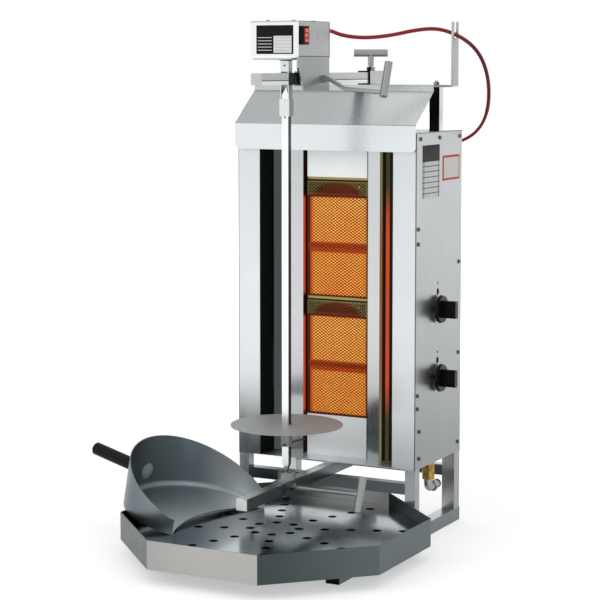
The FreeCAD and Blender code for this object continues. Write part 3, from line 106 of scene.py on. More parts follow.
class Finish:
    """One procedural material. Its methods add nodes and hand back their outputs."""

    def __init__(self, name, **values):
        self.material = bpy.data.materials.new(name)
        self.material.use_nodes = True
        self.tree = self.material.node_tree
        self.shader = self.tree.nodes["Principled BSDF"]
        self.place = self.add("ShaderNodeTexCoord").outputs["Object"]
        axes = self.add("ShaderNodeSeparateXYZ", self.place).outputs
        self.x, self.y, self.z = axes[0], axes[1], axes[2]
        self.set(**values)

    def add(self, kind, *inputs, **settings):
        return add_node(self.tree, kind, *inputs, **settings)

    def feed(self, socket, value):
        feed(self.tree, socket, value)

    def set(self, **values):
        """Sets or links the shader's sockets, named with _ for a space."""
        for name, value in values.items():
            self.feed(self.shader.inputs[name.replace("_", " ")], value)
        return self

    def math(self, operation, a, b=None, c=None):
        return self.add("ShaderNodeMath", a, b, c, operation=operation).outputs[0]

    def noise(self, scale, stretch=(1, 1, 1), detail=3.0):
        """Noise from 0 to 1 of so many waves a metre, drawn out along the axis stretched less."""
        mapping = self.add("ShaderNodeMapping", self.place)
        mapping.inputs["Scale"].default_value = [scale * share for share in stretch]
        noise = self.add("ShaderNodeTexNoise", mapping.outputs[0])
        noise.inputs["Scale"].default_value = 1.0
        noise.inputs["Detail"].default_value = detail
        return noise.outputs["Fac"]

    def spread(self, value, low, high, out_low, out_high):
        """Value's stretch from low to high, as numbers from out_low to out_high."""
        node = self.add("ShaderNodeMapRange", value, low, high, out_low, out_high)
        return node.outputs[0]

    def rise(self, value, at, soft):
        """0 below at, 1 above it, turning smoothly over soft to each side."""
        node = self.add(
            "ShaderNodeMapRange", value, at - soft, at + soft, 0.0, 1.0,
            interpolation_type="SMOOTHSTEP",
        )
        return node.outputs[0]

    def fall(self, value, at, soft):
        """1 below at, 0 above it."""
        return self.math("SUBTRACT", 1.0, self.rise(value, at, soft))

    def squares(self, a, b):
        """The sum of two squares."""
        return self.math("ADD", self.math("MULTIPLY", a, a), self.math("MULTIPLY", b, b))

    def within(self, value, low, high, soft=0.0002):
        """1 from low to high and 0 outside."""
        after = self.rise(value, low, soft)
        return self.math("SUBTRACT", after, self.rise(value, high, soft))

    def both(self, *masks):
        """1 where all masks are."""
        result = masks[0]
        for mask in masks[1:]:
            result = self.math("MULTIPLY", result, mask)
        return result

    def either(self, *masks):
        """1 where any mask is."""
        result = masks[0]
        for mask in masks[1:]:
            result = self.math("MAXIMUM", result, mask)
        return result

    def patch(self, first, second, soft=0.0002):
        """1 inside a rectangle: each side is an axis output with its low and high."""
        return self.both(self.within(*first, soft), self.within(*second, soft))

    def ring(self, across, up, centre, radius, width):
        """1 on a ring of that radius and line width round centre."""
        dx = self.math("SUBTRACT", across, centre[0])
        dz = self.math("SUBTRACT", up, centre[1])
        reach = self.math("SQRT", self.squares(dx, dz))
        return self.within(reach, radius - width / 2, radius + width / 2, 0.0001)

    def mix(self, factor, first, second):
        node = self.add("ShaderNodeMix", data_type="RGBA")
        self.feed(node.inputs[0], factor)
        self.feed(node.inputs[6], first)
        self.feed(node.inputs[7], second)
        return node.outputs[2]

    def dim(self, color, share):
        """The colour times a share."""
        node = self.add("ShaderNodeVectorMath", operation="SCALE")
        self.feed(node.inputs[0], color[:3] if isinstance(color, tuple) else color)
        self.feed(node.inputs["Scale"], share)
        return node.outputs[0]

    def facing(self, *direction):
        """How far the surface faces a direction of the shared frame, from 0 to 1."""
        normal = self.add("ShaderNodeNewGeometry").outputs["Normal"]
        dot = self.add("ShaderNodeVectorMath", normal, Vector(direction).normalized(),
                       operation="DOT_PRODUCT").outputs["Value"]
        return self.math("MAXIMUM", dot, 0.0)

    def faces(self, direction, soft=0.3):
        """1 on surfaces that face a direction, 0 on those turned from it."""
        return self.rise(self.facing(*direction), 0.6, soft)

    def bump(self, height, strength, depth):
        node = self.add("ShaderNodeBump", strength, depth)
        self.feed(node.inputs["Height"], height)
        self.set(Normal=node.outputs[0])
        return self


# Noise: the share of a scale that counts along each axis, the scales in waves a metre, and
# the depths of bumps
GRAIN = {"X": (0.02, 1, 1), "Y": (1, 0.02, 1), "Z": (1, 1, 0.02), "none": (1, 1, 1)}
STREAKS = 700
CLOUDS = 9
SMEARS = 38
STREAK_DEPTH = 0.00002
SKIN = 1400
DRIFT = 60
SKIN_DEPTH = 0.00006


def steel(name, color, roughness, grain="Z", side=0.72, cloud=0.04, streak=0.05, metal=1.0,
          relief=0.05, base=None):
    """Brushed sheet or tube: fine streaks along the grain, soft clouds, and painted shade that
    keeps a share of its colour where it faces left or right. base paints the colour in, relief
    is the bump."""
    finish = Finish(name, Metallic=metal)
    streaks = finish.noise(STREAKS, GRAIN[grain], 4.0)
    clouds = finish.noise(CLOUDS, detail=2.0)
    share = finish.math(
        "ADD",
        finish.spread(streaks, 0.3, 0.7, 1 - streak / 2, 1 + streak / 2),
        finish.spread(clouds, 0.3, 0.7, -cloud / 2, cloud / 2),
    )
    sideways = finish.either(finish.facing(*RIGHT), finish.facing(*LEFT))
    share = finish.both(share, finish.spread(sideways, 0.2, 1.0, 1.0, side))
    painted = base(finish, color) if base else color
    finish.set(Base_Color=finish.dim(painted, share))
    smears = finish.noise(SMEARS, detail=4.0)
    finish.set(Roughness=finish.math(
        "ADD",
        finish.spread(
            streaks, 0.3, 0.7, roughness * (1 - 2 * streak), roughness * (1 + 2 * streak)
        ),
        finish.spread(smears, 0.35, 0.7, -0.01, 0.025),
    ))
    finish.bump(streaks, relief, STREAK_DEPTH)
    return finish


def plastic(name, color, roughness, speckle=0.12, base=None, **values):
    """Moulded plastic with a fine leathery skin and slight colour drift."""
    finish = Finish(name, Specular_IOR_Level=0.1, **values)
    skin = finish.noise(SKIN, detail=2.0)
    drift = finish.noise(DRIFT, detail=3.0)
    painted = base(finish, color) if base else color
    finish.set(
        Base_Color=finish.dim(painted, finish.spread(drift, 0.3, 0.7, 1 - speckle, 1 + speckle)),
        Roughness=finish.spread(drift, 0.3, 0.7, roughness - 0.05, roughness + 0.07),
    )
    finish.bump(skin, 0.15, SKIN_DEPTH)
    return finish


# Painted details of single nodes

# The places that the paints follow. Those of a module are heights over the foot of its burner,
# and the edges in the slots and gaps are distances from the spit's axis to either side.
AXIS_X = sum(corner.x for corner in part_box("skewer")) / 2
WINGS_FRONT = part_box("wing_panels")[0].y
BURNERS_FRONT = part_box("burner_bodies")[0].y
BURNER_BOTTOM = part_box("burner_bodies")[0].z
BURNERS_TOP = BURNER_BOTTOM + 0.428
MODULE_HEIGHT = 0.224
MODULE_PLAQUES = (0.004, 0.186)
MODULE_HEADER = 0.188
MODULE_MIDDLE = (0.085, 0.100)
MODULE_TOP = 0.2195
ARCH_HALF_WIDTH = 0.050
ARCH_HEIGHT = 0.026
REFLECTOR_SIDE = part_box("side_reflectors")[1].x - AXIS_X
WING_RETURN = (REFLECTOR_SIDE - 0.0003, REFLECTOR_SIDE + 0.0021)
WING_RETURN_FRONT = WINGS_FRONT + 0.0018
HOOD_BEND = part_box("hood")[0].z + 0.048
SLOT_EDGE = 0.0955
SLOT_STEP = 0.0972
SLOT_STRIPE = (0.0985, 0.1058)
SLOT_BACK = 0.115
STEP_GLOW_BACK = WINGS_FRONT + 0.0425
GAP_EDGE = 0.0672
ARM_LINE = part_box("upper_arm")[0].z + 0.0074
PLUGS_PARTED = 0.09
ELBOW_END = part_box("inlet_elbow")[1].y - 0.008


def from_axis(finish):
    """The distance to the left or right of the spit's axis."""
    return finish.math("ABSOLUTE", finish.math("SUBTRACT", finish.x, AXIS_X))


def over_module(finish):
    """The height over the foot of the burner that the place belongs to."""
    above = finish.math("SUBTRACT", finish.z, BURNER_BOTTOM)
    return finish.math("MODULO", above, MODULE_HEIGHT)


# Paints: each takes a finish and its plain colour, and hands back the painted colour

def wing_paint(finish, color):
    """Painted light and shade: the left wing carries a painted reflection of the dark tray and
    scoop toward its foot, both wings have painted shade that dims them high up, and the walls
    that turn back into the slots are painted dark as shade."""
    half = from_axis(finish)
    wall = finish.both(
        finish.within(half, *WING_RETURN), finish.rise(finish.y, WING_RETURN_FRONT, 0.0004)
    )
    foot = finish.fall(finish.z, 0.215, 0.085)
    left = finish.fall(finish.x, -0.03, 0.02)
    patches = finish.spread(finish.noise(30, (1, 1, 0.25), 2.0), 0.35, 0.65, 0.8, 1.0)
    dark = finish.both(foot, left, patches)
    high = finish.rise(finish.z, 0.50, 0.20)
    painted = finish.mix(high, color, tone(203, 208, 209))
    painted = finish.mix(dark, painted, tone(84, 88, 90))
    return finish.mix(wall, painted, tone(18, 18, 17))


def hood_paint(finish, color):
    """Painted shade: the slope is darker than the lip below it, less so on the right, and the
    bend between them darker still.
    """
    slope = finish.rise(finish.z, HOOD_BEND + 0.0012, 0.0008)
    right = finish.rise(finish.x, 0.14, 0.08)
    shade = finish.mix(right, tone(173, 176, 177), tone(192, 197, 197))
    painted = finish.mix(slope, color, shade)
    bend = finish.within(finish.z, HOOD_BEND - 0.0006, HOOD_BEND + 0.0006, 0.0004)
    return finish.mix(bend, painted, tone(128, 131, 132))


# Strength of the emission that paints reflections into the slots and gaps beside the burners
MIRROR_GLOW = 0.85


def mirror_sheet():
    """The sheets beside the burners. Where they come close to the burners they are painted dark,
    with a painted reflection of the burners' glow given as emission. The slots outside them are
    painted dark as shade, with painted reflections, also given as emission: the stripes that
    polished walls show there."""
    finish = steel("mirror_steel", tone(174, 177, 178), 0.16, side=1.0)
    plain = finish.shader.inputs["Base Color"].links[0].from_socket
    half = from_axis(finish)
    right = finish.rise(finish.x, AXIS_X, 0.01)
    slot = finish.rise(half, SLOT_EDGE, 0.0002)
    step = finish.both(slot, finish.within(half, SLOT_EDGE, SLOT_STEP))
    inner = finish.fall(half, GAP_EDGE, 0.0002)
    module = over_module(finish)
    burning = finish.both(
        finish.within(module, *MODULE_PLAQUES, 0.006),
        finish.within(finish.z, BURNER_BOTTOM, BURNERS_TOP, 0.004),
    )
    glow = finish.mix(burning, tone(34, 14, 8), tone(206, 70, 24))
    unlit = tone(22, 20, 16)
    wide_glow = finish.mix(
        finish.within(finish.z, 0.25, 0.61, 0.05), tone(70, 66, 46), tone(214, 82, 42)
    )
    olive = finish.mix(
        finish.within(finish.z, 0.26, 0.58, 0.08), tone(124, 122, 88), tone(146, 96, 62)
    )
    olive = finish.mix(finish.rise(finish.y, STEP_GLOW_BACK, 0.0012), olive, unlit)
    stripe = finish.within(half, *SLOT_STRIPE, 0.0008)
    stripes = finish.mix(stripe, unlit, wide_glow)
    back = finish.rise(half, SLOT_BACK, 0.006)
    left_back = finish.mix(back, tone(104, 111, 111), tone(76, 83, 83))
    painted = finish.mix(right, left_back, finish.mix(step, stripes, olive))
    lit = finish.fall(finish.y, BURNERS_FRONT, 0.0015)
    painted = finish.mix(inner, painted, finish.mix(lit, tone(10, 8, 8), glow))
    dark = finish.either(slot, inner)
    finish.set(
        Base_Color=finish.mix(dark, plain, tone(18, 18, 17)),
        Emission_Color=finish.mix(dark, (0, 0, 0, 1), painted),
        Emission_Strength=MIRROR_GLOW,
    )
    return finish


def tube_paint(finish, color):
    """Square tube: the upper side is pale, the upright sides carry a painted reflection of the
    dark beneath.
    """
    return finish.mix(finish.faces(UP), tone(112, 118, 120), color)


def arm_paint(finish, color):
    """Painted reflection and shade: the arm's right side carries a painted reflection, grey above
    a dark line and white below it, and its left side is painted grey as shade."""
    low = finish.fall(finish.z, ARM_LINE, 0.0004)
    line = finish.within(finish.z, ARM_LINE - 0.0008, ARM_LINE + 0.0008, 0.0003)
    banded = finish.mix(low, tone(176, 180, 180), tone(226, 228, 228))
    banded = finish.mix(line, banded, tone(70, 72, 72))
    left = finish.faces(LEFT)
    painted = finish.mix(left, color, tone(160, 163, 164))
    return finish.mix(finish.faces(RIGHT), painted, banded)


def post_paint(finish, color):
    """The hood posts carry a painted reflection of the dark hood on their front."""
    return finish.mix(finish.faces(FRONT), color, tone(36, 37, 37))


def holder_paint(finish, color):
    """The holder tube's front edge is painted dark as shadow."""
    return finish.mix(finish.faces(FRONT), color, tone(24, 24, 24))


def box_paint(finish, color):
    """Painted light and shade: the front of the motor box is painted paler than its sides, whose
    edges show as painted dark lines of shade, with a short one behind the switch."""
    low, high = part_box("motor_box")
    side = finish.faces(RIGHT, 0.2)
    plate_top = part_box("carriage_plate")[1].z
    edge = finish.either(
        finish.within(finish.y, high.y - 0.0038, high.y - 0.0016, 0.0003),
        finish.within(finish.z, plate_top, plate_top + 0.0016, 0.0003),
        finish.patch(
            (finish.y, low.y + 0.0716, low.y + 0.0726), (finish.z, low.z + 0.0365, low.z + 0.0445)
        ),
    )
    painted = finish.mix(finish.facing(*FRONT), color, tone(216, 219, 220))
    return finish.mix(finish.both(side, edge), painted, tone(78, 80, 80))


def lid_paint(finish, color):
    """The lid's side has a painted dark line of shade along its top edge."""
    side = finish.faces(RIGHT, 0.2)
    top = finish.rise(finish.z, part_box("motor_box")[1].z + 0.0015, 0.0004)
    return finish.mix(finish.both(side, top), color, tone(78, 80, 80))


def tray_paint(finish, color):
    """Painted light and shade: the front face is painted with warm light, paler to the right,
    and the faces beside it are painted cool and dark, lighter toward the far right.
    """
    front = finish.rise(finish.facing(*FRONT), 0.9, 0.08)
    right = finish.rise(finish.x, 0.27, 0.10)
    cool = finish.mix(right, tone(66, 74, 76), color)
    warm = finish.mix(
        finish.rise(finish.x, 0.0, 0.1), tone(158, 157, 156), tone(172, 171, 168)
    )
    return finish.mix(front, cool, warm)


def spit_paint(finish, color):
    """Painted light and shade: the bar's front is pale, its left face is painted grey as shade,
    and its right face carries a painted reflection of the dark slots.
    """
    left = finish.faces(LEFT, 0.2)
    painted = finish.mix(left, color, tone(150, 154, 155))
    return finish.mix(finish.faces(RIGHT, 0.2), painted, tone(58, 60, 62))


def panel_paint(finish, color):
    """A sheet with painted shade that darkens it from its top down, and with dark front and top
    edges.
    """
    low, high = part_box("right_side_panel")
    painted = finish.mix(finish.rise(finish.z, 0.50, 0.26), color, tone(166, 170, 171))
    edge = finish.either(
        finish.fall(finish.y, low.y + 0.0022, 0.0005),
        finish.rise(finish.z, high.z - 0.0012, 0.0003),
    )
    return finish.mix(edge, painted, tone(84, 89, 91))


# The scoop's own frame: the foot of its wall's axis, its turns in degrees, its wall's radius
SCOOP_PLACE = (-0.079825, -0.078025, 0.060983)
SCOOP_TILT = 11.166
SCOOP_HEADING = -10.5
SCOOP_INSIDE = 0.1355


def scoop_frame(finish):
    """Places in the scoop's own frame: x, y, height over its floor, distance from its axis."""
    own = finish.add("ShaderNodeMapping", finish.place, vector_type="TEXTURE")
    own.inputs["Location"].default_value = SCOOP_PLACE
    own.inputs["Rotation"].default_value = (
        0, math.radians(SCOOP_TILT), math.radians(SCOOP_HEADING)
    )
    x, y, z = finish.add("ShaderNodeSeparateXYZ", own.outputs[0]).outputs
    return x, y, z, finish.math("SQRT", finish.squares(x, y))


def scoop_paint(finish, color):
    """Rolled sheet with painted light and shade: painted dark outside and lighter toward its open
    side, painted paler where it faces up, with a painted highlight on the bend at its floor and a
    painted glare on the wall at its right end."""
    x, y, height, reach = scoop_frame(finish)
    up = finish.facing(0.1, -0.35, 1)
    painted = finish.mix(finish.rise(up, 0.5, 0.5), tone(116, 127, 131), color)
    glare = finish.both(
        finish.rise(x, -0.050, 0.050),
        finish.rise(y, 0.060, 0.035),
        finish.rise(height, 0.006, 0.004),
    )
    painted = finish.mix(glare, painted, tone(248, 246, 243))
    low = finish.fall(height, 0.0070, 0.0035)
    bend = finish.both(finish.within(reach, 0.1270, 0.1362, 0.004), low)
    painted = finish.mix(bend, painted, tone(208, 217, 220))
    outside = finish.rise(reach, SCOOP_INSIDE + 0.0010, 0.0002)
    skin = finish.mix(finish.rise(x, -0.010, 0.060), tone(92, 103, 107), tone(138, 148, 152))
    return finish.mix(outside, painted, skin)


def handle_paint(finish, color):
    """The bolt's head inside the pan is steel, the grip outside it black."""
    reach = scoop_frame(finish)[3]
    return finish.mix(finish.rise(reach, SCOOP_INSIDE, 0.0002), tone(150, 158, 161), color)


def elbow_paint(finish, color):
    """The elbow's open end is dark."""
    return finish.mix(finish.rise(finish.y, ELBOW_END, 0.0006), color, tone(40, 40, 40))


def brass_paint(finish, color):
    """Brass with brown stains."""
    stain = finish.rise(finish.noise(90, detail=4.0), 0.55, 0.15)
    return finish.mix(stain, color, tone(142, 110, 62))


def header_arch(finish, module):
    """1 inside the arch that the mixing chamber draws on a burner's header."""
    across = finish.math("DIVIDE", finish.math("SUBTRACT", finish.x, AXIS_X), ARCH_HALF_WIDTH)
    up = finish.math("DIVIDE", finish.math("SUBTRACT", module, MODULE_HEADER), ARCH_HEIGHT)
    return finish.fall(finish.squares(across, up), 1.0, 0.25)


def burner_paint(finish, color):
    """Heat-tinted: a red-brown arch on each dark header, a brass line at its top, and an
    orange-brown band between the plaques."""
    module = over_module(finish)
    tint = finish.mix(header_arch(finish, module), color, tone(104, 40, 28))
    tint = finish.mix(finish.within(module, *MODULE_MIDDLE, 0.001), tint, tone(176, 78, 42))
    return finish.mix(finish.rise(module, MODULE_TOP, 0.001), tint, tone(150, 138, 86))


LABEL_ROWS = 5


def motor_label_paint(finish, color):
    """A blank plate: dark ground, pale lines on the left, a pale field with grey lines on the
    right. Fields are given in shares of the plate."""
    low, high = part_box("motor_label")
    width, height = high.x - low.x, high.z - low.z

    def field(x0, x1, z0, z1):
        return finish.patch(
            (finish.x, low.x + x0 * width, low.x + x1 * width),
            (finish.z, low.z + z0 * height, low.z + z1 * height),
        )

    painted = finish.mix(field(0.47, 0.96, 0.04, 0.63), color, tone(250, 251, 250))
    for row in range(LABEL_ROWS):
        line = 0.12 + row * 0.11
        painted = finish.mix(field(0.50, 0.93, line, line + 0.012), painted, tone(176, 177, 177))
        painted = finish.mix(field(0.04, 0.42, line, line + 0.022), painted, tone(250, 251, 250))
    return painted


TALL_PLATE_END = 0.082
TALL_PLATE_ROWS = 7
ROW_PITCH = 0.0098
SMALL_PLATE_START = 0.091
SMALL_PLATE_BOTTOM, SMALL_PLATE_TOP = 0.028, 0.074
SMALL_PLATE_BORDER = 0.004


def side_plates_paint(finish, color):
    """Two blank plates: a tall one with empty rows and a small one with a red border. Places
    count from the lower front corner of both."""
    low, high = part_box("name_plates")
    tall = finish.fall(finish.y, low.y + TALL_PLATE_END, 0.001)
    tall_left, tall_right = low.y + 0.004, low.y + 0.071
    rows_top = low.z + 0.066
    painted = finish.mix(finish.rise(finish.z, rows_top, 0.0003), color, tone(5, 5, 6))
    for row in range(TALL_PLATE_ROWS):
        line = low.z + 0.008 + row * ROW_PITCH
        mask = finish.within(finish.z, line, line + 0.0014)
        painted = finish.mix(mask, painted, tone(26, 26, 28))
    for side in (tall_left, tall_right):
        mask = finish.within(finish.y, side - 0.0014, side + 0.0014)
        painted = finish.mix(mask, painted, tone(26, 26, 28))
    border = SMALL_PLATE_BORDER
    inside = finish.patch(
        (finish.y, low.y + SMALL_PLATE_START + border, high.y - border),
        (finish.z, low.z + SMALL_PLATE_BOTTOM + border, low.z + SMALL_PLATE_TOP - border),
    )
    small = finish.mix(inside, tone(206, 58, 46), tone(226, 224, 220))
    return finish.mix(tall, small, painted)


def rocker_paint(finish, color):
    """Three red fields with pale marks: a turn, a full ring for off, a turn the other way."""
    low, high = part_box("switch_rocker")
    height = (high.z - low.z) / 3
    middle = (low.y + high.y) / 2
    painted = color
    for index in range(3):
        centre = low.z + (index + 0.5) * height
        mark = finish.ring(finish.y, finish.z, (middle, centre), 0.0023, 0.0009)
        if index != 1:
            sign = 1 if index else -1
            offset = finish.math("MULTIPLY", finish.math("SUBTRACT", finish.z, centre), sign)
            mark = finish.both(mark, finish.rise(offset, -0.0008, 0.0002))
            tip = finish.patch(
                (finish.y, middle + 0.0012, middle + 0.0034),
                (finish.z, centre - 0.0018, centre + 0.0002),
            )
            mark = finish.either(mark, tip)
        painted = finish.mix(mark, painted, tone(255, 246, 242))
    for index in (1, 2):
        line = low.z + index * height
        painted = finish.mix(
            finish.within(finish.z, line - 0.0006, line + 0.0006), painted, tone(18, 16, 16)
        )
    return painted


def plug_paint(finish, color):
    """The arms' plugs are white, the floor rails' plugs black."""
    return finish.mix(finish.rise(finish.z, PLUGS_PARTED, 0.002), tone(18, 18, 19), color)


PLAQUE_HOLES = (420, 1, 420)
PLAQUE_JOINT = (0.0825, 0.1020)
CERAMIC_GLOW = 0.95


def glowing_ceramic():
    """Plaques full of fine holes, glowing yellow at the top and deeper orange below, and dim at
    their ends and where two meet."""
    finish = Finish("glowing_ceramic", Roughness=0.9)
    holes = finish.add("ShaderNodeTexVoronoi", feature="F1")
    mapping = finish.add("ShaderNodeMapping", finish.place)
    mapping.inputs["Scale"].default_value = PLAQUE_HOLES
    finish.feed(holes.inputs["Vector"], mapping.outputs[0])
    holes.inputs["Scale"].default_value = 1.0
    holes.inputs["Randomness"].default_value = 0.0
    web = finish.rise(holes.outputs["Distance"], 0.34, 0.06)
    module = over_module(finish)
    high = finish.rise(module, 0.100, 0.09)
    heat = finish.noise(34, (1, 1, 0.8), 3.0)
    hot = finish.mix(high, tone(250, 172, 78), tone(255, 214, 112))
    hot = finish.mix(finish.rise(heat, 0.5, 0.22), hot, tone(255, 194, 92))
    first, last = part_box("burner_plaques")
    inside = finish.within(finish.x, first.x + 0.004, last.x - 0.002, 0.006)
    edge = finish.math("SUBTRACT", 1.0, inside)
    glow = finish.mix(finish.math("MULTIPLY", web, 0.6), hot, tone(232, 104, 22))
    middle = finish.within(module, *PLAQUE_JOINT, 0.0012)
    glow = finish.mix(finish.either(edge, middle), glow, tone(190, 72, 28))
    finish.set(Base_Color=glow, Emission_Color=glow, Emission_Strength=CERAMIC_GLOW)
    finish.bump(holes.outputs["Distance"], 0.5, 0.0006)
    return finish


def sheath():
    """The cable's red sheath, slightly waxy, with painted shade that darkens it right of x 0.30
    m.
    """
    finish = Finish("cable_red", Specular_IOR_Level=0.3)
    drift = finish.noise(45, detail=3.0)
    dark = finish.rise(finish.x, 0.30, 0.06)
    color = finish.mix(dark, tone(150, 18, 24), tone(88, 8, 14))
    finish.set(
        Base_Color=finish.dim(color, finish.spread(drift, 0.3, 0.7, 0.85, 1.12)),
        Roughness=finish.spread(drift, 0.3, 0.7, 0.32, 0.45),
    )
    finish.bump(finish.noise(900, detail=2.0), 0.2, 0.00008)
    return finish


def dress(finish, *nodes):
    """Gives CAD nodes a finish."""
    for name in nodes:
        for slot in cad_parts[name].material_slots:
            slot.material = finish.material


# In the steels below, side is the share of colour kept as painted shade on faces turned left or
# right
white = tone(216, 221, 222)
dress(
    steel("cabinet_steel", white, 0.40, metal=0.85, base=wing_paint),
    "wing_panels", "bottom_panel", "top_panel",
)
dress(
    steel("hood_steel", tone(203, 208, 209), 0.27, "X", side=0.85, streak=0.01, relief=0.0,
          base=hood_paint),
    "hood",
)
dress(
    steel("cover_steel", tone(236, 240, 241), 0.42, "X", metal=0.6, streak=0.02, relief=0.01),
    "burner_covers",
)
dress(mirror_sheet(), "side_reflectors")
dress(
    steel("side_steel", tone(136, 139, 139), 0.30, side=1.0, base=panel_paint),
    "left_side_panel", "right_side_panel", "rear_panel",
)
dress(
    steel("frame_steel", tone(200, 203, 204), 0.28, side=0.5),
    "uprights", "gas_pipes",
)
dress(steel("post_steel", tone(200, 203, 204), 0.30, side=1.0, base=post_paint), "hood_posts")
dress(steel("strip_steel", tone(176, 179, 180), 0.32, side=0.9), "fork_strip")
dress(
    steel("tube_steel", tone(200, 203, 204), 0.30, "Y", side=0.9, base=tube_paint),
    "base_rails", "lower_arm", "upper_sleeve", "lower_sleeve",
)
dress(steel("arm_steel", tone(198, 201, 202), 0.30, "Y", side=1.0, base=arm_paint), "upper_arm")
dress(
    steel("holder_steel", tone(178, 181, 182), 0.30, "Y", side=0.9, base=holder_paint),
    "holder_tube",
)
dress(steel("bar_steel", tone(186, 189, 190), 0.30, "X", base=tube_paint), "crossbars")
dress(
    steel("turned_steel", tone(150, 153, 153), 0.44, "none", side=0.9),
    "arm_clamp_screw", "upper_clamp_screw", "lower_clamp_screw", "spit_bearing",
)
dress(
    steel("coupling_steel", tone(206, 209, 209), 0.30, side=0.6),
    "coupling_sleeve", "drive_shaft",
)
dress(steel("spit_steel", tone(222, 226, 227), 0.22, base=spit_paint, side=1.0), "skewer")
dress(steel("plate_steel", tone(166, 169, 169), 0.5, "X", cloud=0.06, metal=0.25), "meat_plate")
dress(steel("screw_steel", tone(170, 172, 173), 0.30, "none"), "fixing_nuts")
dress(steel("dark_screw_steel", tone(92, 96, 97), 0.36, "none"), "panel_screws", "plate_pin")
dress(steel("box_steel", tone(176, 178, 178), 0.30, "Y", side=0.9, base=box_paint), "motor_box")
dress(steel("carriage_steel", tone(152, 155, 155), 0.32, "Y", side=1.0), "carriage_plate")
dress(
    steel("lid_steel", tone(172, 174, 174), 0.32, "Y", side=1.0, base=lid_paint),
    "motor_box_lid",
)
dress(steel("tray_steel", tone(92, 102, 105), 0.34, "X", side=0.9, base=tray_paint), "tray")
dress(
    steel("insert_steel", tone(182, 190, 193), 0.13, "X", side=0.8, streak=0.02, relief=0.01),
    "tray_insert",
)
dress(
    steel("scoop_steel", tone(158, 167, 170), 0.36, "Y", side=1.0, base=scoop_paint),
    "scoop_pan",
)
dress(
    steel("burner_steel", tone(40, 32, 22), 0.45, "none", side=1.0, base=burner_paint),
    "burner_bodies", "mixing_tubes",
)
dress(
    steel("brass", tone(190, 158, 92), 0.30, "none", base=brass_paint),
    "thermocouples", "gas_taps", "inlet_nut", "lower_tap_spindle", "upper_tap_spindle",
)
dress(steel("elbow_nickel", tone(176, 174, 168), 0.25, "none", base=elbow_paint), "inlet_elbow")
dress(
    plastic("grey_plastic", tone(236, 238, 236), 0.42, base=plug_paint, Metallic=0.6),
    "tube_plugs",
)
dress(plastic("gland_plastic", tone(46, 47, 48), 0.42), "box_gland", "rear_gland")
dress(plastic("pale_plastic", tone(226, 228, 227), 0.40, 0.04), "upper_arm_plug")
dress(
    plastic("black_plastic", tone(12, 12, 13), 0.26),
    "lower_knob", "upper_knob", "switch_housing",
)
dress(plastic("grip_plastic", tone(20, 20, 20), 0.40, base=handle_paint), "scoop_handle")
dress(plastic("motor_metal", tone(60, 62, 64), 0.5), "gearmotor")
dress(plastic("switch_pink", tone(226, 78, 72), 0.28, 0.05, rocker_paint), "switch_rocker")
dress(
    plastic("motor_label_plate", tone(20, 20, 22), 0.42, 0.04, motor_label_paint),
    "motor_label",
)
dress(plastic("side_plates", tone(218, 220, 218), 0.42, 0.04, side_plates_paint), "name_plates")
dress(glowing_ceramic(), "burner_plaques")


# Motor cable

CABLE_DIAMETER = 0.007

# One smooth line from the box gland over the fork and round into the rear gland
CABLE_ROUTE = [
    (0.106175, 0.055024, 0.930), (0.106175, 0.076024, 0.930), (0.118175, 0.106024, 0.920),
    (0.147175, 0.139024, 0.916), (0.185175, 0.171024, 0.921), (0.225175, 0.199024, 0.932),
    (0.263175, 0.219024, 0.934), (0.303175, 0.241024, 0.914), (0.323175, 0.262024, 0.886),
    (0.329175, 0.283024, 0.849), (0.324175, 0.304024, 0.810), (0.309175, 0.329024, 0.775),
    (0.286175, 0.353024, 0.749), (0.259175, 0.372024, 0.731), (0.227175, 0.385024, 0.719),
    (0.204175, 0.394024, 0.711), (0.181175, 0.387024, 0.704), (0.167175, 0.367024, 0.701),
    (0.167175, 0.342024, 0.701),
]


def route_curve(name, points, steps):
    """A curve object whose one open spline has the points as its control points."""
    curve = bpy.data.curves.new(name, "CURVE")
    curve.dimensions = "3D"
    curve.twist_mode = "MINIMUM"
    spline = curve.splines.new("NURBS")
    spline.points.add(len(points) - 1)
    for control, place in zip(spline.points, points):
        control.co = (*place, 1.0)
    spline.order_u = 3
    spline.use_endpoint_u = True
    spline.resolution_u = steps
    shape = bpy.data.objects.new(name, curve)
    bpy.context.scene.collection.objects.link(shape)
    return shape


def mesh_of(shape):
    """The mesh that a curve object gives as it stands."""
    bpy.context.view_layer.update()
    evaluated = shape.evaluated_get(bpy.context.evaluated_depsgraph_get())
    return bpy.data.meshes.new_from_object(evaluated)


def show(name, mesh, finish, body, smooth=True):
    """Puts a mesh in the scene as a piece, which rides on a body if one is named."""
    mesh.materials.clear()
    mesh.materials.append(finish.material)
    for face in mesh.polygons:
        face.use_smooth = smooth
    piece = bpy.data.objects.new(name, mesh)
    bpy.context.scene.collection.objects.link(piece)
    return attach(piece, body) if body else piece


route = route_curve("cable_route", CABLE_ROUTE, 10)
centreline = [tuple(v.co) for v in mesh_of(route).vertices]
route.data.bevel_depth = CABLE_DIAMETER / 2
route.data.bevel_resolution = 5
route.data.use_fill_caps = True
cable = show("cable", mesh_of(route), sheath(), None)
bpy.data.objects.remove(route)
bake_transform(cable)
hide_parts("motor_cable")


# Burner guards: expanded metal of fine diamonds in a narrow frame

DIAMOND_WIDTH = 0.0080
DIAMOND_HEIGHT = 0.0054
STRAND = 0.0013
GUARD_EDGE = 0.0014
GUARD_HEADER = 0.190


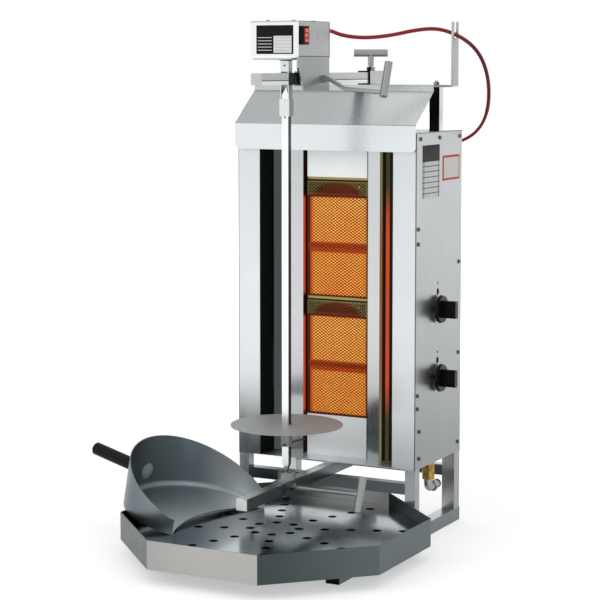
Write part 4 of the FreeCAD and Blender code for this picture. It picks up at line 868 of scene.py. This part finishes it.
def ribbon(points, width, y_front, y_back, verts, faces):
    """A flat strand in the XZ plane along the points, with a rectangular section."""
    start = len(verts)
    for x, z in points:
        for y, side in ((y_front, -1), (y_front, 1), (y_back, 1), (y_back, -1)):
            verts.append((x, y, z + side * width / 2))
    for index in range(len(points) - 1):
        a, b = start + 4 * index, start + 4 * index + 4
        for corner in range(4):
            following = (corner + 1) % 4
            faces.append((a + corner, a + following, b + following, b + corner))
    for end in (start, start + 4 * (len(points) - 1)):
        faces.append((end, end + 1, end + 2, end + 3))


def guard_mesh():
    """Both guards: zigzag strands in rows that meet in diamonds, in a frame of four strips."""
    low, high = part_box("burner_meshes")
    left, right = low.x + GUARD_EDGE, high.x - GUARD_EDGE
    count = int((right - left) / (DIAMOND_WIDTH / 2))
    pitch = (right - left) / count
    verts, faces = [], []
    top_of_first = high.z - MODULE_HEIGHT
    for bottom, top in ((low.z, top_of_first), (low.z + MODULE_HEIGHT, high.z)):
        inner_height = top - bottom - 2 * GUARD_EDGE
        rows = int(inner_height / (DIAMOND_HEIGHT / 2))
        for row in range(rows):
            middle = bottom + GUARD_EDGE + (row + 0.5) * inner_height / rows
            swing = inner_height / rows / 2
            line = [
                (left + step * pitch, middle + (swing if (step + row) % 2 else -swing))
                for step in range(count + 1)
            ]
            ribbon(line, STRAND, low.y, high.y, verts, faces)
        for z in (bottom + GUARD_EDGE / 2, top - GUARD_EDGE / 2):
            ribbon([(low.x, z), (high.x, z)], GUARD_EDGE, low.y, high.y, verts, faces)
        for x in (low.x, high.x - GUARD_EDGE):
            middle = (bottom + top) / 2
            ends = [(x, middle), (x + GUARD_EDGE, middle)]
            ribbon(ends, inner_height, low.y, high.y, verts, faces)
    mesh = bpy.data.meshes.new("burner_guards")
    mesh.from_pydata(verts, [], faces)
    mesh.validate()
    return mesh


def guard_paint(finish, color):
    """The strands are burnt brown over the plaques, and brass with a red-brown arch over the
    headers."""
    module = over_module(finish)
    header = finish.rise(module, GUARD_HEADER, 0.002)
    arch = header_arch(finish, module)
    return finish.mix(header, color, finish.mix(arch, tone(122, 114, 72), tone(116, 62, 40)))


guard_steel = steel(
    "mesh_steel", tone(104, 46, 20), 0.45, "none", side=1.0, cloud=0.3, base=guard_paint
)
guards = show("burner_guards", guard_mesh(), guard_steel, "frame", smooth=False)
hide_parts("burner_meshes")


# Painted reflection on the upper arm: a thin black tube that shows ahead of the carriage plate

REFLECTION_BAND_AHEAD = 0.024
REFLECTION_BAND_DEEP = 0.030
REFLECTION_BAND_GAP = 0.00005
REFLECTION_BAND_THICKNESS = 0.0002


def reflection_band_mesh():
    """A painted reflection: a thin square tube round the arm, inside the play between arm and
    sleeve. It starts ahead of the carriage plate and ends inside the sleeve."""
    arm_low, arm_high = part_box("upper_arm")
    plate_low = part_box("carriage_plate")[0]
    sleeve_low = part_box("upper_sleeve")[0]
    verts = []
    for y in (plate_low.y - REFLECTION_BAND_AHEAD, sleeve_low.y + REFLECTION_BAND_DEEP):
        for out in (REFLECTION_BAND_GAP, REFLECTION_BAND_GAP + REFLECTION_BAND_THICKNESS):
            verts += [
                (arm_low.x - out, y, arm_low.z - out), (arm_high.x + out, y, arm_low.z - out),
                (arm_high.x + out, y, arm_high.z + out), (arm_low.x - out, y, arm_high.z + out),
            ]
    faces = []
    for i in range(4):
        j = (i + 1) % 4
        faces += [
            (i, j, 8 + j, 8 + i), (4 + i, 12 + i, 12 + j, 4 + j),
            (i, 4 + i, 4 + j, j), (8 + i, 8 + j, 12 + j, 12 + i),
        ]
    mesh = bpy.data.meshes.new("arm_reflection_band")
    mesh.from_pydata(verts, [], faces)
    mesh.validate()
    return mesh


# The black tube rides on the carriage and stands in for the dark that the arm's polished side
# mirrors
reflection_band_black = plastic("reflection_band_black", tone(24, 24, 25), 0.45)
show("arm_reflection_band", reflection_band_mesh(), reflection_band_black, "motor_carriage", smooth=False)


# Floor, world and lamps

FLOOR_RADIUS = 30.0
FLOOR_POINTS = 64
AMBIENT = 0.60
FLOOR_LIFT = 0.46
FADE_START = 1.6
FADE_WIDTH = 0.7


def seen_directly(tree):
    """1 for rays that see the background straight, in a mirror or through glass."""
    path = add_node(tree, "ShaderNodeLightPath").outputs
    seen = path["Is Camera Ray"]
    for name in ("Is Glossy Ray", "Is Transmission Ray"):
        seen = add_node(tree, "ShaderNodeMath", seen, path[name], operation="MAXIMUM").outputs[0]
    return seen


floor_finish = Finish("floor_paper", Roughness=0.95, Specular_IOR_Level=0.1)
paper = floor_finish.noise(3.0, detail=2.0)
reach = floor_finish.add("ShaderNodeVectorMath", floor_finish.place, operation="LENGTH")
fade = floor_finish.rise(reach.outputs["Value"], FADE_START, FADE_WIDTH)
lift = floor_finish.spread(fade, 0.0, 1.0, FLOOR_LIFT, 1.0)
floor_finish.set(
    Base_Color=floor_finish.mix(paper, tone(240, 240, 240), tone(244, 244, 244)),
    Emission_Color=(1, 1, 1, 1),
    Emission_Strength=floor_finish.math("MULTIPLY", seen_directly(floor_finish.tree), lift),
)
floor_mesh = bpy.data.meshes.new("studio_floor")
floor_mesh.from_pydata(
    [
        (FLOOR_RADIUS * math.cos(math.tau * i / FLOOR_POINTS),
         FLOOR_RADIUS * math.sin(math.tau * i / FLOOR_POINTS), 0.0)
        for i in range(FLOOR_POINTS)
    ],
    [], [tuple(range(FLOOR_POINTS))],
)
floor_mesh.materials.append(floor_finish.material)
studio_floor = bpy.data.objects.new("studio_floor", floor_mesh)
bpy.context.scene.collection.objects.link(studio_floor)

world = bpy.data.worlds.new("studio")
bpy.context.scene.world = world
world.use_nodes = True
world_tree = world.node_tree
background = world_tree.nodes["Background"]
background.inputs["Color"].default_value = (1, 1, 1, 1)
straight = seen_directly(world_tree)
strength = add_node(world_tree, "ShaderNodeMapRange", straight, 0.0, 1.0, AMBIENT, 1.0)
feed(world_tree, background.inputs["Strength"], strength.outputs[0])

AIM = Vector((0.08, 0.0, 0.45))
LAMPS = (  # name, place, size, power
    ("key", (-1.9, -2.3, 2.3), 2.2, 15.0),
    ("fill", (2.4, -1.6, 1.5), 1.8, 4.0),
    ("top", (0.3, 0.6, 2.8), 2.0, 4.0),
)
for name, place, size, power in LAMPS:
    lamp_data = bpy.data.lights.new(name, "AREA")
    lamp_data.shape = "DISK"
    lamp_data.size = size
    lamp_data.energy = power
    lamp = bpy.data.objects.new(name, lamp_data)
    lamp.location = place
    lamp.rotation_mode = "QUATERNION"
    lamp.rotation_quaternion = (AIM - Vector(place)).to_track_quat("-Z", "Y")
    bpy.context.scene.collection.objects.link(lamp)
